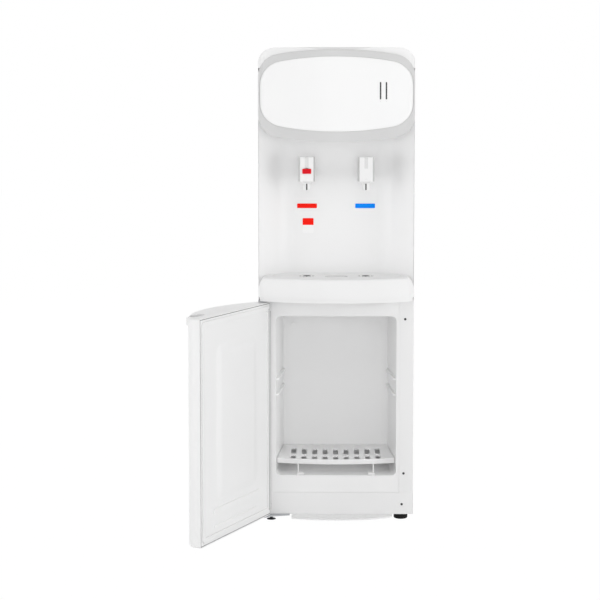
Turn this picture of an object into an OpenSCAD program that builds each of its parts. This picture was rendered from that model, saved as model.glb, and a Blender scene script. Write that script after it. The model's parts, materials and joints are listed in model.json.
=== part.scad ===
// Top load water cooler with a bowed front, a dispensing niche and a storage cabinet.
// Millimetres. X to the right, Y to the back, Z up; the origin lies on the floor,
// under the middle of the cabinet. Distances called f are measured forwards from the
// flat front plane of the cabinet.

/* [Body] */
// Width of the cabinet
body_w = 310; // [304:1:330]
// Depth of the cabinet behind its front plane
body_d = 275; // [272:1:300]
// Height of the top of the cover above the floor
body_h = 945; // [940:1:980]
// Height of the feet
foot_h = 11; // [11:0.5:16]
// Diameter of the feet
foot_d = 28; // [24:1:30]
// Thickness of the painted steel sheet
steel_t = 0.8; // [0.8:0.1:1]
// Thickness of the steel base and decks
deck_t = 1.2; // [1:0.1:1.6]
// Wall of the moulded plastic shells
wall = 2.5; // [2.2:0.1:2.8]
// Clearance between pieces that are fixed to each other
gap = 0.2; // [0.1:0.05:0.3]
// Width of the steel strip beside the storage opening
strip_w = 28; // [26:1:30]
// Height of the plinth above the base
plinth_h = 44; // [41:1:50]

/* [Bowed front] */
// How far the crown of the front stands before the front plane
bow = 70; // [66:1:74]
// Radius of the two upright corners of the bow
bow_r = 28; // [24:1:30]
// Length of the straight side before each corner
bow_side = 9.6; // [8.4:0.2:11]
// Length of the kick lip under the door, forwards from the front plane
lip_bow = 45; // [40:1:50]
// Width of the kick lip
lip_w = 226; // [216:1:230]
// Thickness of the kick lip and of the lower hinge plate
plate_t = 3; // [2.5:0.1:3.2]

/* [Head] */
// Height of the grey bezel ring
head_h = 178.5; // [172:0.5:184]
// Corner radius of the bezel ring
head_r = 45; // [42:1:48]
// Crown of the top and bottom edges of the bezel ring
head_sag = 8; // [6:0.5:10]
// Depth of the bezel ring
bezel_d = 4; // [3.5:0.1:4.5]
// Width of the bezel ring above the front panel
bezel_top = 12.5; // [11:0.5:14]
// Width of the bezel ring under the front panel
bezel_bottom = 19.7; // [18:0.1:21]
// Width of the bezel ring beside the front panel
bezel_side = 3.6; // [3.2:0.1:5]
// How far the front panel lies behind the bezel's face
panel_set = 1; // [0.8:0.1:1.2]
// Distance of the light slits from the middle
light_x = 91; // [86:1:96]
// Distance between the two light slits
light_pitch = 11.6; // [10:0.2:14]
// Width of a light slit
light_w = 3; // [2.6:0.1:3.4]
// Height of a light slit
light_h = 34; // [30:1:38]
// Height of the slits' middle above the middle of the head
light_rise = 10; // [4:1:16]

/* [Top cover] */
// Height of the top cover
cover_h = 40; // [36:1:44]
// Radius of the top cover's upper corners, seen from the front
cover_r = 32; // [28:1:34]
// How far the top cover stands above the bezel ring
cover_drop = 5; // [4.5:0.5:8]
// How far the cover's front lies behind the crown of the bezel
cover_set = 4.4; // [4.4:0.1:6]
// Radius of the bottle seat's rim
seat_r = 100; // [97:1:104]
// Distance of the bottle seat and cold tank behind the middle of the cabinet
seat_y = 18; // [16:1:20]
// Inner radius of the bottle seat's mouth
mouth_r = 88; // [84:1:90]
// Depth of the bottle seat down to its shoulder
seat_depth = 44; // [40:1:48]
// Radius of the bottle probe
probe_r = 12; // [10:0.5:13]
// Height of the bottle probe's straight part
probe_h = 48; // [40:1:50]
// How far the bottle seat lifts out
seat_lift = 90; // [60:5:120]

/* [Niche and taps] */
// Depth of the niche behind the front plane
niche_depth = 62; // [58:1:64]
// Half width of the flat part of the niche wall
niche_flat = 79; // [79:0.5:82]
// Angle through which the niche wall turns forwards at each side
niche_turn = 50; // [47:1:54]
// Distance of each tap from the middle
tap_x = 58.7; // [57:0.1:60]
// Distance from the bottom of the bezel down to the top of the taps
tap_drop = 31.5; // [24:0.5:40]
// Width of a tap lever
lever_w = 33; // [32:0.5:34]
// Height of a tap lever
lever_h = 48; // [47:0.5:50]
// Wall of a tap lever
lever_t = 2.5; // [2.2:0.1:2.8]
// Angle through which a tap lever is pressed
lever_angle = 12; // [6:1:12]
// Distance of the nozzle's axis behind the front plane
tap_set = 5; // [3:0.5:7]
// Distance of the lever pin before the nozzle's axis
pin_ahead = 8.6; // [8.4:0.1:9]
// Radius of the lever pin
lever_pin_r = 2; // [1.8:0.1:2.2]
// Running clearance round pins and stems
run = 0.06; // [0.04:0.01:0.08]
// Radius of the valve chamber
chamber_r = 10; // [9.6:0.1:10.4]
// Radius of the nozzle
nozzle_r = 7.1; // [6.8:0.1:7.6]
// Radius of the tap's shank
shank_r = 8; // [7.5:0.1:8.5]
// Height of the lock button's middle above the lever's lower edge
lock_rise = 20.3; // [19:0.1:21]
// Width of the lock button
lock_w = 17.5; // [16:0.5:19]
// Height of the lock button
lock_h = 10; // [9:0.5:10]
// Travel of the lock button
lock_travel = 3; // [2:0.5:3]
// Width of the colour labels
label_w = 40; // [36:1:44]
// Height of the colour labels
label_h = 9.2; // [8:0.2:10]
// Thickness of the labels
label_t = 0.6; // [0.5:0.1:0.8]
// Distance from the top of the taps down to the middle of the labels
label_drop = 100.7; // [92:0.1:106]
// Width of the two-tone marker
marker_w = 22; // [20:1:24]
// Height of the two-tone marker
marker_h = 30; // [28:1:32]
// Distance from the top of the taps down to the middle of the marker
marker_drop = 140.7; // [134:0.1:150]

/* [Drip tray] */
// Height of the bowed apron that holds the drip tray
apron_h = 48; // [44:1:52]
// Height of the set-back band along the apron's lower edge
band_h = 8.3; // [7:0.1:9.5]
// How far the band lies behind the apron's face
band_set = 3; // [2.5:0.1:4]
// Width of the rounding of the apron's upper corners, seen from the front
corner_w = 16; // [12:1:20]
// Height of the rounding of the apron's upper corners
corner_h = 34; // [28:1:38]
// Width of the recess for the drip tray
recess_w = 252; // [246:1:256]
// How far the recess reaches behind the front plane
recess_back = 28; // [26:0.5:29]
// Width of the apron's rim before the recess
rim_w = 12; // [11:0.5:14]
// Depth of the recess for the drip tray
recess_h = 33.6; // [30:0.1:35]
// Rounding of the apron's upper front edge
apron_edge = 6; // [5:0.5:7]
// Wall of the drip tray
tray_wall = 2; // [1.8:0.1:2.2]
// Floor of the drip tray
tray_floor = 2.6; // [2.2:0.1:3]
// Thickness of the drip grille
grille_t = 2.4; // [2.2:0.1:2.8]
// Radius of the ring of slots round each drain
drain_ring_r = 14; // [13:0.5:15]
// Radius of each drain hole
drain_r = 7.5; // [7:0.5:8]
// Width of the finger dish in the middle of the grille
dish_w = 46; // [42:1:50]
// Depth from front to back of the finger dish
dish_d = 26; // [22:1:28]

/* [Storage cabinet] */
// Height from the base to the underside of the apron
cabinet_h = 434; // [428:1:440]
// Width of the storage opening
opening_w = 242; // [236:0.5:246]
// Height of the rail above the storage opening
top_rail = 33; // [31:0.5:38]
// Height of the opening's lower edge above the plinth
opening_rise = 34.3; // [31:0.1:37]
// Corner radius of the storage opening
opening_r = 10; // [8:0.5:14]
// Depth of the storage compartment behind the front plane
liner_d = 165; // [160:1:166]
// Draft of the liner's walls on each side, in degrees
liner_draft = 4; // [3:0.5:5]
// Wall of the liner
liner_t = 1.6; // [1.4:0.1:2]
// Height of the shelf above the opening's lower edge
shelf_rise = 31.4; // [30:0.1:36]
// Thickness of the shelf
shelf_t = 3; // [2.6:0.1:3.4]
// Height of the shelf's front lip
shelf_lip = 9.7; // [9:0.1:11]
// Crown of the shelf's front edge
shelf_bow = 17; // [14:1:18]
// Distance of the shelf's front behind the front plane
shelf_set = 5; // [4.5:0.5:7]
// Clearance between the shelf and the liner
shelf_gap = 0.8; // [0.6:0.1:0.9]
// Number of slots in a row of the shelf
slot_count = 9; // [7:1:10]
// Distance between the shelf's slots
slot_pitch = 21.5; // [20:0.5:22]
// Width of a slot
slot_w = 10; // [8:0.5:12]
// Distance of the front row of slots behind the shelf's front edge
slot_set = 3.5; // [3:0.1:8]
// Length of the front row's slots
slot_front = 36; // [30:1:38]
// Bar between the two rows of slots
slot_bar = 15.5; // [12:0.5:20]
// Length of the back row's slots
slot_back = 56; // [40:1:60]
// Distance of the shelf's legs from the middle
leg_x = 71.6; // [68:0.1:76]
// Width of a leg's foot
leg_w = 13; // [10:0.5:14]
// Thickness of a leg's foot and of its stem
leg_t = 4.2; // [3:0.1:5]
// Distance of the feet behind the front plane
leg_set = 4; // [2:0.5:8]
// Depth of a leg's foot
leg_d = 15; // [12:0.5:18]

/* [Door] */
// Clearance between the base plate's lip and the door
door_low = 1.4; // [1.2:0.1:2.4]
// Clearance between the door and the apron
door_high = 2.8; // [2.6:0.1:3.6]
// Thickness of the upper hinge plate
hinge_t = 2; // [1.6:0.1:2.2]
// Length of the lower hinge plate
hinge_low_l = 62; // [56:1:66]
// Length of the upper hinge plate
hinge_high_l = 44; // [40:1:50]
// How much narrower the door is than the cabinet
door_in = 2; // [1.6:0.1:3]
// Distance between the cabinet's front plane and the door's inner face
door_set = 3; // [2.8:0.1:3.2]
// Rounding of the door's outer edges
door_edge = 4; // [3:0.5:5]
// Angle at which the door stands open
door_open = 113.4; // [90:0.1:118]
// Distance of the hinge axis from the cabinet's left side
hinge_in = 9.5; // [9.5:0.1:11]
// Distance of the hinge axis before the front plane
hinge_out = 15; // [15:0.1:17]
// Radius of the hinge pins
hinge_r = 3; // [2.6:0.1:3.4]
// Length of each hinge pin inside the door
hinge_len = 12; // [10:0.5:14]
// Width of the door gasket
gasket_w = 10; // [9:0.5:11]
// Distance from the door's edge to the gasket
gasket_in = 7; // [6.8:0.1:8]

/* [Water tanks] */
// Distance from the top of the cover down to the upper deck
top_stack = 321; // [319:1:323]
// Radius of the cold tank
cold_r = 64; // [62:0.5:65]
// Height of the cold tank
cold_h = 218; // [214:1:220]
// Outer radius of the cold tank's insulation
foam_r = 80; // [79:0.5:82]
// Thickness of the insulation under the cold tank
foam_floor = 14; // [12:1:16]
// Radius of the hot tank
hot_r = 46; // [44:1:48]
// Height of the gap between the two tanks' insulation, for the feed pipe
feed_gap = 27.8; // [24:0.2:34]
// Thickness of the insulation above the hot tank
hot_lid = 14; // [12:1:16]
// Outer radius of the hot tank's insulation
hot_foam_r = 62; // [60:1:64]
// Distance of the hot tank behind the middle of the cabinet
hot_y = 45; // [42:1:48]
// Radius of the water hoses
hose_r = 5; // [4.5:0.1:5.4]
// Wall of the steel tanks
tank_t = 1; // [0.8:0.1:1.2]

/* [Cooling system] */
// Radius of the compressor's shell
comp_r = 46; // [44:1:48]
// Height of the compressor's shell
comp_h = 140; // [130:1:150]
// Distance of the compressor behind the middle of the cabinet
comp_y = 82; // [80:1:84]
// Height of the open machine bay at the back
bay_h = 190; // [184:1:200]
// Radius of the condenser's tube
tube_r = 2.5; // [2.3:0.1:2.8]
// Number of runs of the condenser's tube
run_count = 13; // [11:2:13]
// Distance between the runs of the condenser's tube
run_pitch = 44; // [40:1:46]
// Width of the condenser between the middles of its bends
run_w = 226; // [210:1:232]
// Radius of the condenser's wires
wire_r = 0.8; // [0.7:0.1:1]
// Number of wires on each face of the condenser
wire_count = 18; // [12:1:20]
// Distance of the condenser's tube behind the rear panel
cond_gap = 12; // [10:0.5:14]
// Radius of the filter drier
drier_r = 9; // [8:0.5:10]
// Length of the filter drier with its two stubs
drier_len = 92; // [84:1:100]

/* [Hidden] */
$fn = 48;
white = [0.93, 0.93, 0.93];
pale = [0.87, 0.87, 0.87];
bezel_grey = [0.78, 0.78, 0.79];
steel_grey = [0.62, 0.63, 0.64];
copper = [0.72, 0.45, 0.3];
black = [0.09, 0.09, 0.09];
red = [0.8, 0.02, 0.06];
label_red = [0.9, 0.2, 0.09];
label_blue = [0.05, 0.5, 0.95];
foam_white = [0.95, 0.95, 0.9];

// Planes of the cabinet
half_w = body_w / 2;
front_y = -body_d / 2;
rear_y = body_d / 2;
in_w = half_w - steel_t - gap;
base_z = foot_h;
plinth_z = base_z + plinth_h;
apron_z = base_z + cabinet_h;
deck_z = apron_z + apron_h;
cover_z = body_h - cover_h;
sheet_back = rear_y - steel_t;
frame_f = -steel_t - gap;

// Head
ring_z1 = body_h - cover_drop;
ring_z0 = ring_z1 - head_h;
head_z = ring_z1 - head_h / 2;
panel_h = head_h - bezel_top - bezel_bottom;
panel_w = body_w - 2 * bezel_side;
panel_z = ring_z0 + bezel_bottom + panel_h / 2;

// Taps, measured from the lever's top
tap_z = ring_z0 - tap_drop;
tap_bottom = tap_z - lever_h;
lever_pin_z = tap_z - 14;
lever_pin_f = pin_ahead - tap_set;
shank_z = tap_bottom + 12;
lever_front = lever_pin_f + 12.4;
lever_back = lever_pin_f - 17.6;
stem_r = 2.5;
stem_cap_z = lever_pin_z + 4;
barb_y = front_y + niche_depth + 24.5;
barb_z = shank_z - 18;
label_z = tap_z - label_drop;
marker_z = tap_z - marker_drop;
lock_z = tap_bottom + lock_rise;
lock_seat = lever_front - lever_t;

// Drip tray
recess_z = deck_z - recess_h;
tray_w = recess_w - 1;
tray_front = bow - rim_w - 0.5;
tray_top = deck_z - 0.5 - grille_t;

// Storage
open_z = plinth_z + opening_rise;
opening_h = apron_z - open_z - top_rail;
open_mid = open_z + opening_h / 2;
liner_f = frame_f - wall;
liner_len = liner_d + liner_f;
shelf_z = open_z + shelf_rise;

// Door
door_w = body_w - door_in;
door_z0 = base_z + door_low;
door_z1 = apron_z - door_high;
hinge_x = -half_w + hinge_in;
hinge_y = front_y - hinge_out;

// Decks, tanks and the bottle seat
low_deck_z = apron_z + 2;
high_deck_z = body_h - top_stack;
foam_z = high_deck_z + deck_t;
tank_z = foam_z + foam_floor;
lid_z = tank_z + cold_h;
lid_t = 5;
neck_r = 34;
hot_z = low_deck_z + deck_t;
hot_tank_z = hot_z + 10;
hot_top = high_deck_z - feed_gap;
hot_h = hot_top - hot_lid - hot_tank_z;
feed_x = 20;
feed_y = hot_y - 9;
hose_y = front_y + niche_depth + 24.5;

// Machine bay and rear
pan_z = base_z + deck_t;
comp_z = pan_z + 9;
cond_y = rear_y + cond_gap;
cond_z = base_z + bay_h + 60;
bay_z = base_z + bay_h;
switch_z = cover_z - 70;
switch_x = 92;
drain_x = -70;
drain_z = bay_z + 26;
drain_y = sheet_back - steel_t;
gland_x = -105;
bead_x = body_w * 0.194;
bead_z0 = bay_z + (cover_z - bay_z) * 0.085;
bead_z1 = bay_z + (cover_z - bay_z) * 0.778;
bead_t = 1.2;
drier_x = -104;
drier_y = comp_y + 8;
drier_z = pan_z + 24;
riser_x = 100;
riser_y = 70;
gland_z = base_z + 60;

// Points of an arc from angle a0 to a1 in n steps
function arc(c, r, a0, a1, n) = [for (i = [0:n]) let (a = a0 + (a1 - a0) * i / n)
    c + r * [cos(a), sin(a)]];
function inner(v) = [for (i = [1:len(v) - 2]) v[i]];
function reversed(v) = [for (i = [len(v) - 1:-1:0]) v[i]];
function up(v) = v / norm(v);

// Outline of a crown of width w and height h: straight sides, corners of radius r and
// one long arc that is tangent to both corners
function crowned(w, h, r, side, back = 0, n = 24, m = 7) =
    let (a = w / 2 - r, k = h - r - side, q = (a * a + k * k) / (2 * k),
        t = atan2(q - k, a))
    concat([[w / 2, -back]], arc([a, side], r, 0, t, m),
        inner(arc([0, h - r - q], q + r, t, 180 - t, n)),
        arc([-a, side], r, 180 - t, 180, m), [[-w / 2, -back]]);

// The same crown above and below a middle line
function drum(w, h, r, sag) = let (half = crowned(w, h / 2, r, h / 2 - r - sag))
    concat(inner(half), [for (p = inner(half)) -p]);

// Rectangle with round corners, w by h, its middle at c
function rounded(w, h, r, c = [0, 0], m = 6) =
    [for (i = [0:3]) let (s = [[1, 1], [-1, 1], [-1, -1], [1, -1]][i])
        each arc(c + [s.x * (w / 2 - r), s.y * (h / 2 - r)], r, 90 * i, 90 * i + 90, m)];

// Plan of the niche wall: a slanted side, a rounded turn, the flat back and the same again
niche_w = in_w - gap - niche_flat;
niche_side = (niche_depth - niche_w * tan(niche_turn / 2)) / (tan(niche_turn) - tan(niche_turn / 2));
niche_r = (niche_w - niche_side) / sin(niche_turn);
function niche_curve(shift) = concat([[in_w - gap, shift]],
    arc([niche_flat, niche_r - niche_depth + shift], niche_r, niche_turn - 90, -90, 8),
    arc([-niche_flat, niche_r - niche_depth + shift], niche_r, -90, -90 - niche_turn, 8),
    [[-in_w + gap, shift]]);

// Half width of the storage compartment at a distance d behind the front plane
function liner_half(d) = opening_w / 2 - (d + liner_f) * tan(liner_draft);

// Plan outlines are drawn as [x, f] and stand from height z0 to z1
module plan(z0, z1)
    translate([0, front_y, z0]) mirror([0, 1, 0]) linear_extrude(z1 - z0) children();

// Front outlines are drawn as [x, z] and reach from distance f0 to f1
module face(f0, f1)
    translate([0, front_y - f0, 0]) rotate([90, 0, 0]) linear_extrude(f1 - f0) children();

// Side outlines are drawn as [y, z] and reach from x0 to x1
module side(x0, x1)
    translate([x0, 0, 0]) rotate([90, 0, 90]) linear_extrude(x1 - x0) children();

// A box between two corners
module block(lo, hi) translate(lo) cube(hi - lo);

// A cylinder along Y from y0 to y1
module rod_y(x, y0, y1, z, r)
    translate([x, y0, z]) rotate([-90, 0, 0]) cylinder(h = y1 - y0, r = r);

// A cylinder along X from x0 to x1
module rod_x(x0, x1, y, z, r)
    translate([x0, y, z]) rotate([0, 90, 0]) cylinder(h = x1 - x0, r = r);

// A skin through rings of points that run clockwise seen from the last ring's side
module loft(rings) {
    n = len(rings[0]);
    m = len(rings);
    polyhedron(
        points = [for (ring = rings) each ring],
        faces = concat([[for (i = [n - 1:-1:0]) i], [for (i = [0:n - 1]) (m - 1) * n + i]],
            [for (j = [0:m - 2], i = [0:n - 1]) let (k = (i + 1) % n)
                [j * n + i, j * n + k, (j + 1) * n + k, (j + 1) * n + i]]));
}

// A crowned block whose upper and lower outer edges are rounded
module crowned_block(w, h, r, side, back, z0, z1, e0, e1, steps = 4) {
    function ring(t, z) = [for (p = crowned(w - 2 * t, h - t, r - t, side, back))
        [p.x, front_y - p.y, z]];
    low = e0 > 0 ? [for (i = [0:steps]) let (a = 90 * i / steps)
        ring(e0 * (1 - sin(a)), z0 + e0 * (1 - cos(a)))] : [ring(0, z0)];
    high = e1 > 0 ? [for (i = [steps:-1:0]) let (a = 90 * i / steps)
        ring(e1 * (1 - sin(a)), z1 - e1 * (1 - cos(a)))] : [ring(0, z1)];
    loft(concat(low, high));
}

// Smooth route through hand-picked points, k steps between two of them
function spline(p, k = 5) = concat([for (i = [0:len(p) - 2], j = [0:k - 1])
    let (a = p[max(i - 1, 0)], b = p[i], c = p[i + 1], d = p[min(i + 2, len(p) - 1)],
        t = j / k)
    0.5 * (2 * b + (c - a) * t + (2 * a - 5 * b + 4 * c - d) * t * t
        + (3 * b - a - 3 * c + d) * t * t * t)], [p[len(p) - 1]]);
function tangent(p, i) = up(p[min(i + 1, len(p) - 1)] - p[max(i - 1, 0)]);
function normals(p, n, i = 0) = i == len(p) ? [] : let (t = tangent(p, i),
    v = up(n - (n * t) * t)) concat([v], normals(p, v, i + 1));

// A round tube or hose swept along a route
module swept(route, r, first, sides = 10) {
    n = normals(route, first);
    loft([for (i = [0:len(route) - 1]) let (t = tangent(route, i), u = n[i], v = cross(t, u))
        [for (j = [sides - 1:-1:0]) let (a = 360 * j / sides)
            route[i] + r * (cos(a) * u + sin(a) * v)]]);
}

// Shared places of the screws in the front strips
front_screw_at = [[half_w - 17, open_z + opening_h - 5.7], [half_w - 19, open_z + 4.7]];
function both_sides(v) = concat(v, [for (p = v) [-p.x, p.y]]);
screw_points = concat(both_sides(front_screw_at), both_sides([[half_w - 22.4, base_z + 20]]));

module base_pan() color(steel_grey) {
    flange_h = 16;
    difference() {
        union() {
            block([-in_w, front_y + wall + gap, base_z], [in_w, sheet_back - gap, pan_z]);
            for (s = [-1, 1])
                block([s > 0 ? in_w - deck_t : -in_w, front_y + wall + gap, base_z],
                    [s > 0 ? in_w : -in_w + deck_t, sheet_back - gap, pan_z + flange_h]);
            block([-in_w, sheet_back - gap - deck_t, base_z],
                [in_w, sheet_back - gap, pan_z + flange_h]);
        }
        for (x = [-1, 0, 1], k = [-1, 1])
            translate([50 * x, comp_y - 98 + 12 * k, base_z - 1])
                cylinder(h = deck_t + 2, r = 4);
    }
}

// Kick panel with the bowed lip under the door
module plinth() color(white) {
    difference() {
        block([-in_w, front_y, base_z], [in_w, front_y + wall, plinth_z]);
        for (p = screw_points) screw_hole(p);
    }
    intersection() {
        plan(base_z - plate_t, base_z)
            polygon(crowned(lip_w, lip_bow, 22, 5, 14));
        block([-half_w + 66, -body_d, 0], [half_w, 0, base_z]);
    }
}

function foot_at() = [[half_w - 24, front_y + 16], [-half_w + 24, front_y + 52],
    [half_w - 24, rear_y - 22], [-half_w + 24, rear_y - 22]];

module feet() color(black)
    for (p = foot_at()) translate([p.x, p.y, 0])
        rotate_extrude() polygon([[0, 0], [foot_d / 2 - 2.5, 0], [foot_d / 2 - 0.6, 0.8],
            [foot_d / 2, 2.4], [foot_d / 2, foot_h - 2], [foot_d / 2 - 1.4, foot_h], [0, foot_h]]);

// Recess and clearance hole of a front screw at [x, z]
module screw_hole(p) {
    rod_y(p.x, front_y - 1, front_y + steel_t, p.y, 2.6);
    rod_y(p.x, front_y - 1, front_y + 14, p.y, 1.9);
}

// Bent steel side with its front strip and rear return
module side_panel(s) color(white) {
    rear_return = 12;
    mirror([s > 0 ? 0 : 1, 0, 0]) difference() {
        union() {
            block([half_w - steel_t, front_y, base_z], [half_w, rear_y, cover_z]);
            block([half_w - strip_w, front_y, plinth_z], [half_w, front_y + steel_t, apron_z]);
            block([half_w - rear_return, sheet_back, base_z], [half_w, rear_y, cover_z]);
        }
        for (p = front_screw_at) screw_hole(p);
    }
}
module left_side_panel() side_panel(-1);
module right_side_panel() side_panel(1);

// Rear sheet with two shallow stiffening beads and the holes of switches and drain
module rear_panel() color(pale) {
    z1 = cover_z - gap;
    difference() {
        union() {
            block([-in_w, drain_y, bay_z], [in_w, sheet_back, z1]);
            for (s = [-1, 1]) side(s * bead_x - 5, s * bead_x + 5)
                polygon([[sheet_back, bead_z0], [sheet_back + bead_t, bead_z0 + 4],
                    [sheet_back + bead_t, bead_z1 - 4], [sheet_back, bead_z1]]);
            block([-in_w, drain_y - 14, bay_z], [in_w, sheet_back, bay_z + steel_t]);
        }
        switch_hole(gap);
        rod_y(drain_x, drain_y - 2, sheet_back + 2, drain_z, 9);
        for (i = [-4:4], s = [-1, 1])
            block([i * 24 - 8, drain_y - 1, z1 - 118 + s * 8 - 1.6],
                [i * 24 + 8 - (i > 2 ? 16 : 0) + (i > 2 ? 0.5 : 0), sheet_back + 2,
                z1 - 118 + s * 8 + 1.6]);
    }
}

module switch_hole(extra)
    block([switch_x - 30 - extra, drain_y - 2, switch_z - 16 - extra],
        [switch_x + 30 + extra, sheet_back + 2, switch_z + 16 + extra]);

// Moulded frame round the opening; its edges tuck behind the steel strips
module face_frame() color(pale) difference() {
    face(liner_f, frame_f) difference() {
        translate([-in_w + gap, plinth_z + gap]) square([2 * in_w - 2 * gap, cabinet_h - plinth_h - gap]);
        polygon(rounded(opening_w, opening_h, opening_r, [0, open_mid]));
    }
    for (p = screw_points) screw_hole(p);
}

// A drafted pocket that starts at the frame's back and narrows towards the rear
module pocket(grow, len) loft([for (d = [0, len]) let (t = grow - d * tan(liner_draft))
    [for (p = rounded(opening_w + 2 * t, opening_h + 2 * t, opening_r + grow, [0, open_mid], 5))
        [p.x, front_y - liner_f + d, p.y]]]);

module cabinet_liner() color(pale) {
    flange = 14;
    rib_rise = [opening_h * 0.593, opening_h * 0.494];
    difference() {
        union() {
            face(liner_f - liner_t, liner_f) translate([-opening_w / 2 - flange, open_z - flange])
                square([opening_w + 2 * flange, opening_h + 2 * flange]);
            pocket(liner_t, liner_len + liner_t);
        }
        translate([0, -0.01, 0]) pocket(0, liner_len);
        for (p = screw_points) screw_hole(p);
    }
    for (s = [-1, 1]) {
        for (rise = rib_rise) liner_rib(s, 14, liner_d - 14, open_z + rise, 5);
        liner_rib(s, liner_d - 70, liner_d - 14, shelf_z - shelf_t - 4.2, 6);
        rod_y(s * 88, front_y + liner_d - 3, front_y + liner_d + 0.5, open_z + opening_h - 37, 5);
    }
}

// A ledge on the liner's side wall from depth d0 to d1, standing out by the given reach
module liner_rib(s, d0, d1, z, reach)
    translate([0, front_y, z]) linear_extrude(4) polygon([for (p = [[d0, 0.8], [d0 + 5, -reach],
        [d1, -reach], [d1, 0.8]]) [s * (liner_half(p[0]) + p[1]), p[0]]]);

function shelf_half(d) = liner_half(d) - shelf_gap;
function shelf_outline(t) = let (d0 = shelf_set + shelf_bow, d1 = liner_d - shelf_gap - t,
    a = shelf_half(d0) - t, r = (a * a + shelf_bow * shelf_bow) / (2 * shelf_bow), e = asin(a / r))
    concat([[shelf_half(d1) - t, -d1]],
        arc([0, -shelf_set - t - r], r, 90 - e, 90 + e, 16), [[-shelf_half(d1) + t, -d1]]);

// Slotted shelf with a lip that runs round its bowed front
module shelf() color(white) difference() {
    union() {
        plan(shelf_z - shelf_t, shelf_z) polygon(shelf_outline(0));
        difference() {
            plan(shelf_z - shelf_lip, shelf_z) polygon(shelf_outline(0));
            plan(shelf_z - shelf_lip - 1, shelf_z + 1) polygon(shelf_outline(wall));
            block([-body_w, front_y + shelf_set + shelf_bow + 26, 0], [body_w, rear_y, body_h]);
        }
    }
    rows = [[slot_set, slot_front], [slot_set + slot_front + slot_bar, slot_back]];
    for (i = [0:slot_count - 1], row = rows) {
        x = (i - (slot_count - 1) / 2) * slot_pitch;
        d = shelf_set + shelf_bow * pow(x / shelf_half(shelf_set + shelf_bow), 2) + row[0];
        plan(shelf_z - shelf_t - 1, shelf_z + 1)
            polygon(rounded(slot_w, row[1], 2, [x, -d - row[1] / 2], 2));
    }
}

// Height of the liner's floor at a distance d behind the front plane
function floor_at(d) = open_z + (d + liner_f) * tan(liner_draft);

// Snap-in legs that hold the front of the shelf above the liner's floor
module shelf_legs() color(white) for (s = [-1, 1]) {
    d = [leg_set, leg_set + leg_d];
    low = [floor_at(d[0]) + gap, floor_at(d[1]) + gap];
    side(s * leg_x - leg_w / 2, s * leg_x + leg_w / 2)
        polygon([[front_y + d[0], low[0]], [front_y + d[1], low[1]],
            [front_y + d[1], low[1] + leg_t], [front_y + d[0], low[0] + leg_t]]);
    stem_x = s * (leg_x + leg_w / 2 - 2.2);
    block([stem_x - 1.2, front_y + d[1] - leg_t, low[1] + leg_t / 2],
        [stem_x + 1.2, front_y + d[1], shelf_z - shelf_t]);
}

module front_screws() color(steel_grey) for (p = screw_points) {
    rod_y(p.x, front_y + 0.1, front_y + steel_t, p.y, 2.4);
    rod_y(p.x, front_y + 0.1, front_y + 13, p.y, 1.7);
}

// The two steel hinge plates, each with its pin and a thrust collar
module hinge_brackets() color(steel_grey) {
    hinge_plate(base_z - plate_t, plate_t, -22, -half_w + hinge_low_l);
    translate([hinge_x, hinge_y, base_z]) {
        cylinder(h = door_low - gap, r = 6);
        cylinder(h = door_low + hinge_len, r = hinge_r);
    }
    hinge_plate(apron_z - hinge_t, hinge_t, 1, -half_w + hinge_high_l);
    translate([hinge_x, hinge_y, door_z1]) {
        translate([0, 0, gap]) cylinder(h = door_high - hinge_t - gap, r = 6);
        translate([0, 0, -hinge_len]) cylinder(h = hinge_len + door_high - hinge_t, r = hinge_r);
    }
}

module hinge_plate(z, t, f0, x1) {
    plan(z, z + t) polygon([[-half_w, f0], [x1, f0], [x1, max(f0 + 10, 2)],
        [hinge_x + 11, hinge_out], [-half_w, hinge_out]]);
    translate([hinge_x, hinge_y, z]) cylinder(h = t, r = hinge_in);
}

// Concave wall of the niche, with a hole for each tap's shank
module niche_panel() color(white) difference() {
    plan(apron_z + 1, head_z - 10) polygon(concat(niche_curve(0), reversed(niche_curve(-wall))));
    for (s = [-1, 1])
        rod_y(s * tap_x, front_y + niche_depth - 2, front_y + niche_depth + wall + 2, shank_z,
            shank_r + 0.4);
}

// Everything before the niche wall and within an outline
module before_niche(z0, z1, shift = 0)
    plan(z0, z1) polygon(concat([[-body_w, 0], [-body_w, 2 * bow], [body_w, 2 * bow], [body_w, 0]],
        niche_curve(shift)));

// Bowed apron with the recess for the drip tray
module tray_housing() color(white) difference() {
    intersection() {
        union() {
            crowned_block(body_w, bow, bow_r, bow_side, niche_depth + 4, apron_z + band_h, deck_z,
                0, apron_edge);
            plan(apron_z, apron_z + band_h + 1) polygon(crowned(body_w - 2 * band_set,
                bow - band_set, bow_r - band_set, bow_side, niche_depth + 4));
        }
        before_niche(apron_z - 1, deck_z + 1);
        face(-niche_depth - 5, bow + 1) polygon([[half_w, apron_z - 1],
            for (a = [0:10:90]) [half_w - corner_w + corner_w * cos(a),
                deck_z - corner_h + corner_h * sin(a)],
            for (a = [90:-10:0]) [-half_w + corner_w - corner_w * cos(a),
                deck_z - corner_h + corner_h * sin(a)], [-half_w, apron_z - 1]]);
    }
    plan(recess_z, deck_z + 1)
        polygon(crowned(recess_w, bow - rim_w, bow_r - 6, bow_side, recess_back));
    plan(apron_z - 1, recess_z - wall)
        polygon(crowned(recess_w - 60, bow - rim_w - 8, bow_r - 8, bow_side - 4, 20));
}

module tray_outline(z0, z1, t) plan(z0, z1)
    polygon(crowned(tray_w - 2 * t, tray_front - t, bow_r - 6.5 - t, bow_side, recess_back - 0.5 - t));

module drip_tray() color(pale) {
    floor_z = recess_z + gap;
    difference() {
        tray_outline(floor_z, tray_top - gap, 0);
        tray_outline(floor_z + tray_floor, deck_z, tray_wall);
    }
}

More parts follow.
